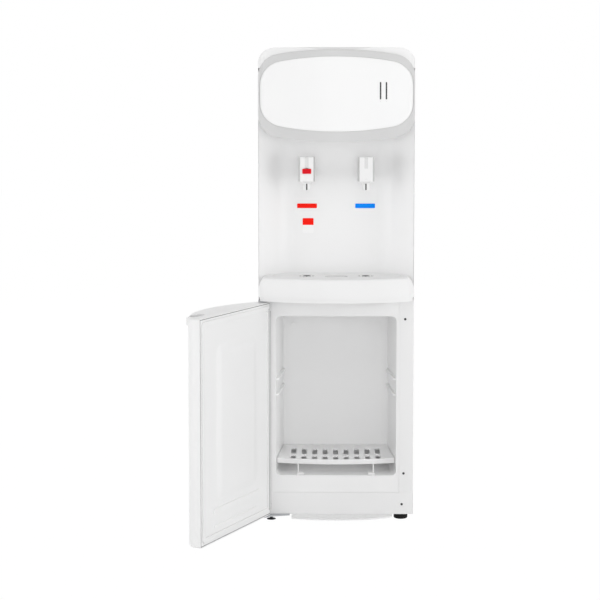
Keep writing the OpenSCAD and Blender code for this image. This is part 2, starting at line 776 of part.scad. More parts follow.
// Grille over the tray: a drain with a ring of slots under each nozzle, and a finger dish
module drip_grille() color(white) difference() {
    tray_outline(tray_top, tray_top + grille_t, 0);
    for (s = [-1, 1]) translate([s * tap_x, front_y + tap_set, tray_top - 1]) {
        cylinder(h = grille_t + 2, r = drain_r);
        for (a = [0:30:330]) rotate([0, 0, a]) translate([drain_ring_r, 0, 0])
            linear_extrude(grille_t + 2) polygon(rounded(5, 2.4, 1.1, m = 2));
    }
    plan(tray_top + grille_t / 2, deck_z) polygon(rounded(dish_w, dish_d, dish_d / 2 - 0.05, [0, 4], 8));
}

// A front outline shaped like the bezel, smaller all round by t
module drum_outline(t) translate([0, head_z])
    polygon(drum(body_w - 2 * t, head_h - 2 * t, head_r - t, head_sag));

// A bowed layer of the head between two depths behind the bezel's face
module bowed_layer(t0, t1) difference() {
    plan(ring_z0 - 1, ring_z1 + 1) polygon(crowned(body_w - 2 * t0, bow - t0, bow_r - t0, bow_side));
    plan(ring_z0 - 2, ring_z1 + 2)
        polygon(crowned(body_w - 2 * t1, bow - t1, bow_r - t1, bow_side, 1));
}

// Drum behind the bezel: its front wall and the rim that reaches back to the niche
module head_shell() color(white) difference() {
    intersection() {
        face(-niche_depth - 1, bow) drum_outline(gap);
        plan(ring_z0 - 1, ring_z1 + 1) polygon(concat(
            crowned(body_w - 2 * bezel_d - 2 * gap, bow - bezel_d - gap, bow_r - bezel_d - gap, bow_side),
            [[-in_w + gap, 0]], reversed(niche_curve(0)), [[in_w - gap, 0]]));
    }
    intersection() {
        face(-niche_depth - 2, bow + 1) drum_outline(gap + wall);
        plan(ring_z0 - 2, ring_z1 + 2) polygon(crowned(body_w - 2 * (bezel_d + wall),
            bow - bezel_d - gap - wall, bow_r - bezel_d - wall, bow_side, niche_depth + 2));
    }
    block([-half_w, front_y, head_z], [half_w, rear_y, body_h]);
}

module bezel() color(bezel_grey) intersection() {
    bowed_layer(0, bezel_d);
    face(0, bow + 1) difference() {
        drum_outline(0);
        panel_outline(0);
    }
}

module panel_outline(t) translate([0, panel_z])
    polygon(drum(panel_w - 2 * t, panel_h - 2 * t, head_r + 3 - t, head_sag + 1));

module display_panel() color([0.96, 0.96, 0.96]) difference() {
    intersection() {
        bowed_layer(panel_set, bezel_d);
        face(0, bow + 1) panel_outline(gap);
    }
    for (s = [-1, 1]) light_slit(s, 0);
}

module light_slit(s, t)
    face(0, bow + 1) polygon(rounded(light_w - 2 * t, light_h - 2 * t, light_w / 2 - t - 0.05,
        [light_x + s * light_pitch / 2, head_z + light_rise], 4));

module indicator_lenses() color([0.25, 0.25, 0.27]) for (s = [-1, 1]) intersection() {
    bowed_layer(panel_set + 0.3, bezel_d);
    light_slit(s, 0.1);
}

module wall_label(x, z, w, h, f)
    face(-niche_depth, -niche_depth + f) polygon(rounded(w, h, 1.5, [x, z], 3));
module hot_label() color(label_red) wall_label(-tap_x, label_z, label_w, label_h, label_t);
module cold_label() color(label_blue) wall_label(tap_x, label_z, label_w, label_h, label_t);
module hot_marker() color(label_red) wall_label(-tap_x + 2.2, marker_z, marker_w, marker_h, label_t);

// One-piece cover with the well for the bottle seat
module top_cover() color(white) {
    difference() {
        union() {
            difference() {
                cover_form(0);
                translate([0, 0, -0.01]) cover_form(wall);
            }
            translate([0, seat_y, body_h - 9]) cylinder(h = 8, r = seat_r + 3.5);
        }
        translate([0, seat_y, cover_z]) cylinder(h = cover_h + 1, r = seat_r - 4);
        translate([0, seat_y, body_h - 2.8]) cylinder(h = 4, r = seat_r + gap + 0.1);
        intersection() {
            face(-niche_depth, bow + 1) drum_outline(-gap);
            block([-body_w, -body_d, 0], [body_w, front_y + niche_depth, body_h]);
        }
    }
}

module cover_form(t) {
    top = body_h - t;
    intersection() {
        plan(cover_z, top) polygon(concat(
            crowned(body_w - 2 * t, bow - cover_set - t, bow_r - 2 - t, bow_side - 1, body_d - t)));
        face(-body_d, bow) polygon(concat([[half_w - t, cover_z - 1]],
            arc([half_w - cover_r, body_h - cover_r], cover_r - t, 0, 90, 8),
            arc([-half_w + cover_r, body_h - cover_r], cover_r - t, 90, 180, 8),
            [[-half_w + t, cover_z - 1]]));
        side(-half_w, half_w) polygon(concat([[rear_y - t, cover_z - 1]],
            arc([rear_y - 12, body_h - 12], 12 - t, 0, 90, 6),
            arc([front_y - bow + cover_set + 10, body_h - 10], 10 - t, 90, 180, 6),
            [[front_y - bow + cover_set + t, cover_z - 1]]));
    }
}

// Steel decks that carry the tanks between the side panels
module tank_decks() color(steel_grey) {
    difference() {
        tank_deck(high_deck_z);
        translate([-tap_x, hose_y, high_deck_z - 1]) cylinder(h = deck_t + 2, r = hose_r + 3);
        translate([feed_x, feed_y, high_deck_z - 1]) cylinder(h = deck_t + 2, r = hose_r + 1);
        riser_holes(high_deck_z);
    }
    difference() {
        tank_deck(low_deck_z);
        riser_holes(low_deck_z);
    }
}

module riser_holes(z) for (s = [-1, 1])
    translate([s * riser_x, riser_y, z - 1]) cylinder(h = deck_t + 2, r = 5);

module tank_deck(z) {
    y0 = front_y + niche_depth + wall + 2 * gap;
    y1 = drain_y - gap;
    block([-in_w, y0, z], [in_w, y1, z + deck_t]);
    for (s = [-1, 1]) block([s > 0 ? in_w - deck_t : -in_w, y0, z - 12],
        [s > 0 ? in_w : -in_w + deck_t, y1, z + deck_t]);
}

// Stainless tank with an outlet towards the cold tap and a feed pipe to the hot tank
module cold_tank() color(steel_grey) {
    difference() {
        translate([0, seat_y, tank_z]) cylinder(h = cold_h, r = cold_r);
        translate([0, seat_y, tank_z + tank_t]) cylinder(h = cold_h, r = cold_r - tank_t);
    }
    outlet(cold_r - 0.5, foam_r + 0.6, 3.5);
    translate([feed_x, feed_y, foam_z - deck_t - 2]) cylinder(h = foam_floor + deck_t + 2.5, r = 4);
}

// A pipe that leaves the cold tank towards the foot of the cold tap's hose
outlet_dir = up([tap_x, hose_y - seat_y]);
outlet_z = barb_z - 24;
module outlet(r0, r1, r) translate([0, seat_y, outlet_z])
    rotate([0, 90, atan2(outlet_dir.y, outlet_dir.x)]) translate([0, 0, r0]) cylinder(h = r1 - r0, r = r);

module tank_lid() color(white) difference() {
    translate([0, seat_y, lid_z]) union() {
        cylinder(h = lid_t, r = cold_r + 2);
        cylinder(h = lid_t + 4, r = neck_r + 4);
    }
    translate([0, seat_y, lid_z - 1]) cylinder(h = lid_t + 8, r = neck_r + 0.5);
}

// Aluminium sleeve with its wound copper band
module evaporator() color(copper) translate([0, seat_y, tank_z + cold_h * 0.45]) difference() {
    union() {
        cylinder(h = 70, r = cold_r + 1.2);
        for (i = [0:6]) translate([0, 0, 5 + 10 * i]) rotate_extrude()
            polygon([[cold_r, -2], [cold_r + 2.2, -2], [cold_r + 3, 0], [cold_r + 2.2, 2], [cold_r, 2]]);
    }
    translate([0, 0, -1]) cylinder(h = 72, r = cold_r + 0.1);
}

module cold_insulation() color(foam_white) difference() {
    translate([0, seat_y, foam_z]) cylinder(h = foam_floor + cold_h + lid_t, r = foam_r);
    translate([0, seat_y, tank_z]) cylinder(h = cold_h + lid_t + 1, r = cold_r + 3.4);
    translate([feed_x, feed_y, foam_z - 1]) cylinder(h = foam_floor + 2, r = 4.2);
    outlet(cold_r, foam_r + 2, 3.8);
}

module hot_tank() color(steel_grey) {
    difference() {
        translate([0, hot_y, hot_tank_z]) cylinder(h = hot_h, r = hot_r);
        translate([0, hot_y, hot_tank_z + tank_t]) cylinder(h = hot_h - 2 * tank_t, r = hot_r - tank_t);
    }
    translate([feed_x, feed_y, hot_tank_z + hot_h - 0.5])
        cylinder(h = hot_top - hot_tank_z - hot_h + 1.5, r = 4);
    hot_port(hot_r - 0.6, hot_foam_r + 0.6, 3.5);
}

// A pipe that leaves the hot tank towards the hot tap's hose
hot_dir = up([-tap_x, hose_y - hot_y]);
hot_port_z = hot_tank_z + hot_h - 12;
module hot_port(r0, r1, r) translate([0, hot_y, hot_port_z])
    rotate([0, 90, atan2(hot_dir.y, hot_dir.x)]) translate([0, 0, r0]) cylinder(h = r1 - r0, r = r);

module heater_band() color([0.75, 0.72, 0.66]) translate([0, hot_y, hot_tank_z + hot_h * 0.2]) {
    band = hot_h * 0.36;
    difference() {
        cylinder(h = band, r = hot_r + 3);
        translate([0, 0, -1]) cylinder(h = band + 2, r = hot_r + 0.15);
        translate([hot_r - 2, -1, -1]) cube([8, 2, band + 2]);
    }
}

module hot_insulation() color(foam_white) difference() {
    translate([0, hot_y, hot_z]) cylinder(h = hot_top - hot_z, r = hot_foam_r);
    translate([0, hot_y, hot_tank_z - gap]) cylinder(h = hot_h + 2 * gap, r = hot_r + 3.6);
    translate([feed_x, feed_y, hot_tank_z]) cylinder(h = hot_top - hot_tank_z + 1, r = 4.2);
    hot_port(hot_r, hot_foam_r + 2, 3.8);
}

// Silicone hose from the hot tank up to the hot tap's barb
module hot_hose() color(foam_white) {
    d = [hot_dir.x, hot_dir.y, 0];
    e = d * (hot_foam_r + 1) + [0, hot_y, hot_port_z];
    swept(spline([[-tap_x, hose_y, barb_z - 0.3], [-tap_x, hose_y, barb_z - 50],
        [-tap_x, hose_y, hot_port_z + 34], e + 20 * d + [0, 0, 10], e + 10 * d, e + 5 * d, e], 5),
        hose_r, [1, 0, 0]);
}

// Silicone hoses from the cold tank to the cold tap and down to the hot tank
module cold_hoses() color(foam_white) {
    d = [outlet_dir.x, outlet_dir.y, 0];
    e = d * (foam_r + 1) + [0, seat_y, outlet_z];
    swept(concat([[tap_x, hose_y, barb_z - 0.3]], spline([[tap_x, hose_y, barb_z - 3],
        [tap_x, hose_y, barb_z - 12], e + 7 * d + [0, 0, 3], e + 3 * d], 5), [e]),
        hose_r, [1, 0, 0]);
    translate([feed_x, feed_y, hot_top + 1.2])
        cylinder(h = foam_z - deck_t - 2.2 - hot_top - 1.2, r = hose_r);
}

// Valve body with its nozzle, pin ears, wall flange and the barbed elbow behind the wall
module tap_body(x) color(white) translate([x, front_y + tap_set, 0]) difference() {
    union() {
        translate([0, 0, tap_bottom]) cylinder(h = 24, r = chamber_r);
        intersection() {
            translate([0, 0, tap_bottom - 5]) cylinder(h = 5, r1 = nozzle_r, r2 = chamber_r + 3.5);
            block([-20, -chamber_r + 0.4, tap_bottom - 6], [20, 20, tap_bottom + 1]);
        }
        translate([0, 0, tap_bottom - 18]) cylinder(h = 15, r = nozzle_r);
        for (s = [-1, 1]) side(s > 0 ? 8 : -11.5, s > 0 ? 11.5 : -8)
            polygon(concat([[5, tap_bottom + 12]], arc([-pin_ahead, lever_pin_z], 4, 30, 210, 8),
                [[-8, tap_bottom + 12]]));
        rod_y(0, 0, niche_depth - tap_set - 3, shank_z, shank_r + 1);
        rod_y(0, niche_depth - tap_set - 3.2, niche_depth - tap_set, shank_z, 14);
        rod_y(0, niche_depth - tap_set - 1, barb_y - front_y - tap_set, shank_z, shank_r);
        translate([0, barb_y - front_y - tap_set, barb_z]) cylinder(h = 18, r = 4);
        translate([0, barb_y - front_y - tap_set, barb_z + 18]) sphere(r = 6);
    }
    translate([0, 0, tap_bottom + 2]) cylinder(h = 18, r = 6);
    translate([0, 0, tap_bottom - 19]) cylinder(h = 22, r = 4.5);
    translate([0, 0, tap_bottom]) cylinder(h = 30, r = stem_r + run);
    rod_x(-20, 20, -pin_ahead, lever_pin_z, lever_pin_r + run);
    rod_y(0, 0, barb_y - front_y - tap_set - 6, shank_z, 3.5);
    block([-1.2, -nozzle_r - 1, tap_bottom - 19], [1.2, 0, tap_bottom - 5]);
}
module hot_tap_body() tap_body(-tap_x);
module cold_tap_body() tap_body(tap_x);

// Hexagon nuts that hold the taps behind the niche wall
module tap_nuts() color(pale) for (s = [-1, 1])
    translate([s * tap_x, front_y + niche_depth + wall + gap, shank_z]) rotate([-90, 0, 0])
        difference() {
            cylinder(h = 6, r = shank_r + 5, $fn = 6);
            translate([0, 0, -1]) cylinder(h = 8, r = shank_r + run);
        }

module lever_pins() color(steel_grey) for (s = [-1, 1])
    rod_x(s * tap_x - lever_w / 2 + 0.3, s * tap_x + lever_w / 2 - 0.3, front_y - lever_pin_f,
        lever_pin_z, lever_pin_r);

// Press lever: a cap over the valve body, hung on its pin, with a fork under the stem's head
module lever(x, lock) translate([x, front_y, 0]) {
    y0 = -lever_front;
    y1 = -lever_back;
    w = lever_w / 2;
    difference() {
        union() {
            difference() {
                plan_lever(y0, y1, w, tap_bottom, tap_z, 5);
                plan_lever(y0 + lever_t, y1 + 1, w - lever_t, tap_bottom - 1, tap_z - lever_t, 3.5);
            }
            for (s = [-1, 1]) block([s > 0 ? stem_r + 0.7 : -w + 1, -lever_pin_f + 6.6, lever_pin_z + 1],
                [s > 0 ? w - 1 : -stem_r - 0.7, -lever_pin_f + 10.2, lever_pin_z + 3.5]);
        }
        rod_x(-20, 20, -lever_pin_f, lever_pin_z, lever_pin_r + run);
        translate([0, y0 - 5.4, lock_z + lock_h / 2 + 0.4]) cylinder(h = lever_h, r = 6.6);
        if (lock)
            block([-5, y0 - 1, lock_z - 3.2], [5, y0 + lever_t + 1, lock_z + 3.2 + lock_travel]);
    }
}

module plan_lever(y0, y1, w, z0, z1, r)
    translate([0, 0, z0]) linear_extrude(z1 - z0) polygon(concat([[w, y1]],
        arc([w - r, y0 + r], r, 0, -90, 5), arc([-w + r, y0 + r], r, -90, -180, 5), [[-w, y1]]));

module hot_lever() color(white) lever(-tap_x, true);
module cold_lever() color(white) lever(tap_x, false);

// Lock button: face, neck through the lever's slot and the retaining plate behind it
module hot_lock() color(red) translate([-tap_x, front_y - lever_front, lock_z]) {
    face_y = -2.1;
    translate([0, -0.2, 0]) rotate([90, 0, 0]) linear_extrude(1.9)
        polygon(rounded(lock_w, lock_h, 1.6, m = 4));
    block([-4.7, face_y + 1, -3], [4.7, lever_t + 1, 3]);
    block([-7, lever_t + 0.2, -4], [7, lever_t + 1.6, 4]);
}

// Valve stem with its seal below and its head above the lever's fork
module plunger(x) color(pale) translate([x, front_y + tap_set, 0]) {
    translate([0, 0, tap_bottom + 2 + gap]) cylinder(h = 4, r = 5.4);
    translate([0, 0, tap_bottom + 5]) cylinder(h = stem_cap_z - tap_bottom - 4, r = stem_r);
    translate([0, 0, stem_cap_z]) cylinder(h = 2, r = 5.6);
}
module hot_plunger() plunger(-tap_x);
module cold_plunger() plunger(tap_x);

// Bottle seat: rim, drafted well and the neck that enters the tank's lid
module bottle_seat() color(white) translate([0, seat_y, 0]) {
    t = wall;
    rim = body_h + 0.2;
    shoulder = body_h - seat_depth;
    neck_top = lid_z + lid_t + 8;
    foot = lid_z + 1;
    rotate_extrude() polygon([[seat_r, rim], [seat_r, rim - 2.6], [seat_r - 4.6, rim - 2.6],
        [mouth_r + t - 3, shoulder], [neck_r, neck_top], [neck_r, foot],
        [neck_r - t, foot], [neck_r - t, neck_top - 6], [16, neck_top - 6], [16, neck_top - 3],
        [neck_r - 1, neck_top - 3], [neck_r, neck_top + t], [mouth_r - 3, shoulder + t],
        [mouth_r, rim - 3], [mouth_r + 2, rim]]);
}

// Hollow bottle probe with side ports and a domed tip
module bottle_probe() color(white) translate([0, seat_y, lid_z + lid_t + 5 + gap]) difference() {
    union() {
        cylinder(h = 4, r = 26);
        cylinder(h = 4 + probe_h, r = probe_r);
        translate([0, 0, 4 + probe_h]) cylinder(h = 5, r1 = probe_r, r2 = probe_r - 5);
    }
    translate([0, 0, -1]) cylinder(h = probe_h, r = probe_r - 3);
    for (a = [0, 90]) rotate([0, 0, a]) translate([-20, 0, 12]) rotate([0, 90, 0])
        cylinder(h = 40, r = 2);
}

// Sealed compressor: deep-drawn shell with its weld flange, base plate and terminal box
module compressor() color(black) {
    translate([0, comp_y, comp_z + 3]) {
        rotate_extrude() polygon(concat([[0, 0], [comp_r * 0.62, 0]],
            arc([comp_r - 14, 14], 14, -90, 0, 6),
            [[comp_r, comp_h * 0.52], [comp_r + 3, comp_h * 0.52], [comp_r + 3, comp_h * 0.55],
            [comp_r, comp_h * 0.55]],
            arc([comp_r - 26, comp_h - 26], 26, 0, 90, 8), [[0, comp_h]]));
        translate([comp_r - 8, -19, 40]) cube([22, 38, 46]);
    }
    difference() {
        block([-66, comp_y - 38, comp_z], [66, comp_y + 38, comp_z + 3.2]);
        for (p = grommet_at()) translate([p.x, p.y, comp_z - 1]) cylinder(h = 6, r = 5.2);
    }
}

function grommet_at() = [for (sx = [-1, 1], sy = [-1, 1]) [sx * 56, comp_y + sy * 29]];

module compressor_grommets() color([0.2, 0.2, 0.21]) for (p = grommet_at())
    translate([p.x, p.y, pan_z]) rotate_extrude() polygon([[0, 0], [9, 0], [9, comp_z - pan_z],
        [5, comp_z - pan_z], [5, comp_z - pan_z + 3.2], [8, comp_z - pan_z + 3.4],
        [7, comp_z - pan_z + 7], [0, comp_z - pan_z + 7]]);

// Serpentine tube of the condenser, with one bend between each two runs
module condenser_tube() color(black) {
    r = run_pitch / 2;
    for (i = [0:run_count - 1]) {
        z = cond_z + i * run_pitch;
        s = i % 2 == 0 ? 1 : -1;
        rod_x(-run_w / 2 + r, run_w / 2 - r, cond_y, z, tube_r);
        if (i < run_count - 1) translate([s * (run_w / 2 - r), cond_y, z + r])
            rotate([90, 0, 0]) rotate([0, 0, s > 0 ? -90 : 90]) rotate_extrude(angle = 180)
                translate([r, 0]) circle(r = tube_r);
    }
}

// Wires along both faces of the serpentine, and the four clips that stand on the rear panel
module condenser_wires() color(black) {
    reach = run_w / 2 - run_pitch / 2;
    z0 = cond_z - 14;
    z1 = cond_z + (run_count - 1) * run_pitch + 14;
    for (i = [0:wire_count - 1], s = [-1, 1])
        translate([-reach + 2 * reach * i / (wire_count - 1), cond_y + s * (tube_r + wire_r + 0.15), z0])
            cylinder(h = z1 - z0, r = wire_r, $fn = 8);
    for (s = [-1, 1], k = [1, run_count - 2]) {
        z = cond_z + k * run_pitch;
        clip_x = s * (reach - 9);
        block([clip_x - 3, sheet_back, z - 9], [clip_x + 3, sheet_back + 1, z + 9]);
        block([clip_x - 3, sheet_back, z - 1], [clip_x + 3, cond_y - tube_r - gap, z + 1]);
    }
}

module filter_drier() color(copper) translate([drier_x, drier_y, drier_z]) rotate_extrude()
    polygon([[0, 0], [2, 0], [2, 8], [drier_r, 16], [drier_r, drier_len - 20], [2.6, drier_len - 12],
        [2.6, drier_len], [0, drier_len]]);

// Copper lines: compressor to condenser, condenser to drier, drier to evaporator, and back
module refrigerant_lines() color(copper) {
    x0 = run_w / 2 - run_pitch / 2 + 0.6;
    x1 = run_w / 2 + tube_r + 6;
    top_z = cond_z + (run_count - 1) * run_pitch;
    dome = comp_y + comp_r;
    swept(concat(spline([stub(60, 0.4), stub(60, 7), [56, dome + 2, comp_z + 64],
        [x1 - 14, dome + 2, comp_z + 90], [x1 - 2, cond_y - 8, bay_z - 10],
        [x1, cond_y, bay_z + 30]], 4), spline([[x1, cond_y, top_z - 30], [x1 - 2, cond_y, top_z - 8],
        [x1 - 10, cond_y, top_z], [x0 + 4, cond_y, top_z], [x0, cond_y, top_z]], 3)),
        tube_r - 0.2, [0, 1, 0], 6);
    swept(spline([[-x0, cond_y, cond_z], [-x0 - 4, cond_y, cond_z], [-x0 - 12, cond_y, cond_z - 6],
        [-x0 - 14, cond_y, cond_z - 20], [-x0 - 14, cond_y, bay_z + 8],
        [-x0 - 12, cond_y - 8, bay_z - 14], [drier_x, drier_y + 16, drier_z + drier_len + 26],
        [drier_x, drier_y, drier_z + drier_len + 6],
        [drier_x, drier_y, drier_z + drier_len + 0.3]], 3), tube_r - 0.2, [0, 0, 1], 6);
    riser(-1, 1.6, [[drier_x, drier_y, drier_z - 0.3], [drier_x, drier_y, drier_z - 5],
        [drier_x - 4, drier_y - 4, drier_z - 12], [drier_x - 12, drier_y - 12, drier_z - 6],
        [drier_x - 14, drier_y - 16, drier_z + 20]]);
    riser(1, 3, [stub(-60, 0.4), stub(-60, 7), [52, comp_y - comp_r - 6, comp_z + 64],
        [riser_x - 10, riser_y - 16, comp_z + 76]]);
}

// A point outside the compressor's shell, at an angle round it
function stub(a, out) = [0, comp_y, comp_z + 60] + (comp_r + out) * [cos(a), sin(a), 0];

// A line that starts along the given points and rises through the decks to the cold tank's foam
module riser(s, r, start) {
    d = up([s * riser_x, riser_y - seat_y, 0]);
    top = [0, seat_y, tank_z + cold_h * 0.5];
    swept(concat(spline(concat(start, [[s * riser_x, riser_y, bay_z - 20],
        [s * riser_x, riser_y, bay_z + 40]]), 3), spline([[s * riser_x, riser_y, top.z - 40],
        [s * riser_x, riser_y, top.z - 14], top + d * (foam_r + 10) - [0, 0, 2],
        top + d * (foam_r + 4), top + d * (foam_r + 0.6)], 3)), r, [0, 1, 0], 6);
}

// Recessed plate that carries the two rocker switches
module switch_plate() color(black) difference() {
    union() {
        block([switch_x - 30, drain_y - 10, switch_z - 16], [switch_x + 30, sheet_back, switch_z + 16]);
        block([switch_x - 34, sheet_back, switch_z - 20], [switch_x + 34, sheet_back + 2, switch_z + 20]);
    }
    for (s = [-1, 1]) block([switch_x + s * 14.5 - 10, drain_y - 7, switch_z - 11],
        [switch_x + s * 14.5 + 10, sheet_back + 4, switch_z + 11]);
    for (s = [-1, 1]) rod_x(switch_x + s * 14.5 - 12, switch_x + s * 14.5 + 12, sheet_back - 1,
        switch_z, 1.5 + run);
}

// Rocker with two flat halves that meet in a shallow angle, on its own stub axles
module rocker(x) {
    side(x - 9.6, x + 9.6) polygon([[sheet_back - 4, switch_z - 9.6], [sheet_back + 2.2, switch_z - 9.8],
        [sheet_back + 1.2, switch_z], [sheet_back + 4.6, switch_z + 9.2], [sheet_back - 4, switch_z + 9.4]]);
    rod_x(x - 11.6, x + 11.6, sheet_back - 1, switch_z, 1.5);
}
module hot_switch() color(red) rocker(switch_x - 14.5);
module cold_switch() color([0.1, 0.5, 0.25]) rocker(switch_x + 14.5);

module drain_valve() color(white) difference() {
    union() {
        rod_y(drain_x, drain_y - 30, sheet_back + 14, drain_z, 8);
        rod_y(drain_x, sheet_back, sheet_back + 2.5, drain_z, 13);
    }
    rod_y(drain_x, drain_y - 20, sheet_back + 15, drain_z, 5);
}

module drain_cap() color(white) difference() {
    rod_y(drain_x, sheet_back + 2.8, sheet_back + 17, drain_z, 11);
    rod_y(drain_x, sheet_back + 2, sheet_back + 14.3, drain_z, 8 + run);
}

// Gland for the mains lead, in a small bracket on the base pan
module cable_gland() color(black) difference() {
    union() {
        block([gland_x - 14, rear_y - 12, pan_z], [gland_x + 14, rear_y - 10, gland_z + 14]);
        rod_y(gland_x, rear_y - 20, rear_y - 2, gland_z, 8);
        rod_y(gland_x, rear_y - 10, rear_y - 6, gland_z, 11);
    }
    rod_y(gland_x, rear_y - 30, rear_y + 4, gland_z, 4);
}

// The door's pieces are drawn closed and then swung open about the hinge pins
module swung() translate([hinge_x, hinge_y, 0]) rotate([0, 0, -door_open])
    translate([-hinge_x, -hinge_y, 0]) children();

module door_shell() color(white) swung() difference() {
    union() {
        difference() {
            crowned_block(door_w, bow, bow_r, bow_side, -door_set, door_z0, door_z1,
                door_edge, door_edge);
            plan(door_z0 + wall, door_z1 - wall)
                polygon(crowned(door_w - 2 * wall, bow - wall, bow_r - wall, bow_side, 1 - door_set));
        }
        for (z = [door_z0, door_z1 - hinge_len - 4]) translate([hinge_x, hinge_y, z])
            cylinder(h = hinge_len + 4, r = hinge_r + 3.5);
        // Walls of the finger pocket in the top edge
        translate([106, front_y - 33, door_z1 - 16]) linear_extrude(16 - door_edge / 2)
            polygon(rounded(52, 24, 8));
    }
    for (z = [door_z0 - 1, door_z1 - hinge_len - 0.5]) translate([hinge_x, hinge_y, z])
        cylinder(h = hinge_len + 1.5, r = hinge_r + run);
    translate([106, front_y - 33, door_z1 - 13]) linear_extrude(20) polygon(rounded(46, 18, 6));
}

// Outline of the door's raised field, smaller by t, at a distance f before the front plane
function field(t, f) = [for (p = rounded(opening_w - 62 - 2 * t, opening_h - 20 - 2 * t, 24 - t,
    [0, open_z - 13 + opening_h / 2])) [p.x, front_y - f, p.y]];

// Inner panel with its raised field and two bars
module door_liner() color(white) swung() {
    w = door_w - 2 * wall - 2 * gap;
    h = door_z1 - door_z0 - 2 * wall - 2 * gap;
    mid = (door_z0 + door_z1) / 2;
    face(door_set, door_set + wall) polygon(rounded(w, h, 3, [0, mid], 3));
    loft([for (k = [[0, door_set + 0.5], [0, door_set], [5, door_set - 0.8], [12, door_set - 2.6],
        [18, door_set - 3.6], [23, door_set - 4]]) field(k[0], k[1])]);
    face(door_set - 2, door_set + 0.5)
        polygon(rounded(door_w * 0.656, 10, 4.9, [0, plinth_z + 16]));
    face(door_set - 1.4, door_set + 0.5)
        polygon(rounded(door_w * 0.597, 4, 1.9, [6, plinth_z - 13]));
}

module door_gasket() color([0.8, 0.8, 0.8]) swung() {
    w = door_w - 2 * gasket_in;
    h = door_z1 - door_z0 - 2 * gasket_in;
    mid = (door_z0 + door_z1) / 2;
    face(0.3, door_set) difference() {
        polygon(rounded(w, h, 9, [0, mid]));
        polygon(rounded(w - 2 * gasket_w, h - 2 * gasket_w, 3, [0, mid]));
    }
}

base_pan();
plinth();
feet();
left_side_panel();
right_side_panel();
rear_panel();
face_frame();
cabinet_liner();
shelf();
shelf_legs();
front_screws();
hinge_brackets();
niche_panel();
tray_housing();
head_shell();
bezel();
display_panel();
indicator_lenses();
hot_label();
cold_label();
hot_marker();
top_cover();
tank_decks();
cold_tank();
tank_lid();
evaporator();
cold_insulation();
hot_tank();
heater_band();
hot_insulation();
hot_hose();
cold_hoses();
hot_tap_body();
cold_tap_body();
tap_nuts();
lever_pins();
compressor();
compressor_grommets();
condenser_tube();
condenser_wires();
filter_drier();
refrigerant_lines();
switch_plate();
drain_valve();
cable_gland();
door_shell();
door_liner();
door_gasket();
drip_tray();
drip_grille();
bottle_seat();
bottle_probe();
hot_lever();
cold_lever();
hot_lock();
hot_plunger();
cold_plunger();
hot_switch();
cold_switch();
drain_cap();
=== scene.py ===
# %% [markdown]
# # Top load water cooler
# The cooler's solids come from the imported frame: steel cabinet, door, tanks, taps and so
# on, each at its real place. This lesson dresses them. It sets up a camera and a studio,
# mixes the real finishes, rolls the edges of the mouldings and then models the small
# things that the plain solids leave out.

# %% Load the frame
import bpy
import bmesh
import json
import math
from mathutils import Matrix, Vector

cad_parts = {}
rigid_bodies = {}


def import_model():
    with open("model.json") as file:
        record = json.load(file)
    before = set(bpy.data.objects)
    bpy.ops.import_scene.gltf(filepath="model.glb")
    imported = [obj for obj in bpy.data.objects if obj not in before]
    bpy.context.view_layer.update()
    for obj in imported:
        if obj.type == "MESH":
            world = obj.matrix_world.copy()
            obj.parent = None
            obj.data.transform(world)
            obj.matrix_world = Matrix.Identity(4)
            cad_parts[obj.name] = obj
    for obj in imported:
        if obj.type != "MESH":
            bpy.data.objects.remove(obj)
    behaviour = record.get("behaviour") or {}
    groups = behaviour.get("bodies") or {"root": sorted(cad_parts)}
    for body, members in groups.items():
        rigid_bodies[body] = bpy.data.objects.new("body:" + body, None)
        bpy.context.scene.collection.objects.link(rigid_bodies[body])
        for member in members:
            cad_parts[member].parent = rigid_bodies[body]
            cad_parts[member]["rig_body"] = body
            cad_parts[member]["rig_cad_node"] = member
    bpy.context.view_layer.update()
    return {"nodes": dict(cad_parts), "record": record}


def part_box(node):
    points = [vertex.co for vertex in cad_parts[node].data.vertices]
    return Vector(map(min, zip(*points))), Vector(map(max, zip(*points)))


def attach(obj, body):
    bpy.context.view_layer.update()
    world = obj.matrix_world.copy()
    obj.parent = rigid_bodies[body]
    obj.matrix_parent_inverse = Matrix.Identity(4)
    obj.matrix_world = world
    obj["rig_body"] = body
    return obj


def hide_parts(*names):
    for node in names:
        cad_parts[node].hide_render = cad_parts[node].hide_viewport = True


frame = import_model()
nodes, mm = frame["nodes"], 0.001

# %% [markdown]
# Some places are shared by several pieces. All of them are in millimetres: x runs to the
# right, y to the back and z up, and the floor is at z = 0.

# %% Shared places
front_y = -137.5                 # front plane of the cabinet
spout_x, spout_y = 58.7, -132.5  # each spout, left and right, and the drain below it
hinge_x, hinge_y = -145.5, -152.5
door_open = 113.4                # degrees that the door stands open at rest

# %% [markdown]
# The camera stands about four metres away, a little above the taps, and looks slightly
# down, as a long lens in a product studio does. A small vertical shift keeps the
# cabinet's upright edges nearly parallel, as a view camera would.

# %% Camera
look_down, look_left = 4.948, 0.686  # degrees
camera = bpy.data.objects.new("studio_camera", bpy.data.cameras.new("studio_camera"))
bpy.context.scene.collection.objects.link(camera)
camera.location = (-28.8 * mm, -3759.0 * mm, 854.4 * mm)
camera.rotation_euler = (math.radians(90 - look_down), 0, math.radians(look_left))
camera.data.sensor_width = 36
camera.data.lens = 109.509
camera.data.shift_y = -0.08
camera.data.clip_end = 40
bpy.context.scene.camera = camera
print("camera lens", camera.data.lens, "mm")

# %% [markdown]
# Colours are written as the sRGB hex values that a paint card or a screen shows. Cycles
# works with linear light, so one function turns each of them over. The others make
# shader nodes and materials, and select objects.

# %% Colours and nodes
def srgb(code):
    """The linear colour of an sRGB hex code."""
    values = [int(code[i:i + 2], 16) / 255 for i in (1, 3, 5)]
    linear = [v / 12.92 if v <= 0.04045 else ((v + 0.055) / 1.055) ** 2.4 for v in values]
    return tuple(linear) + (1.0,)


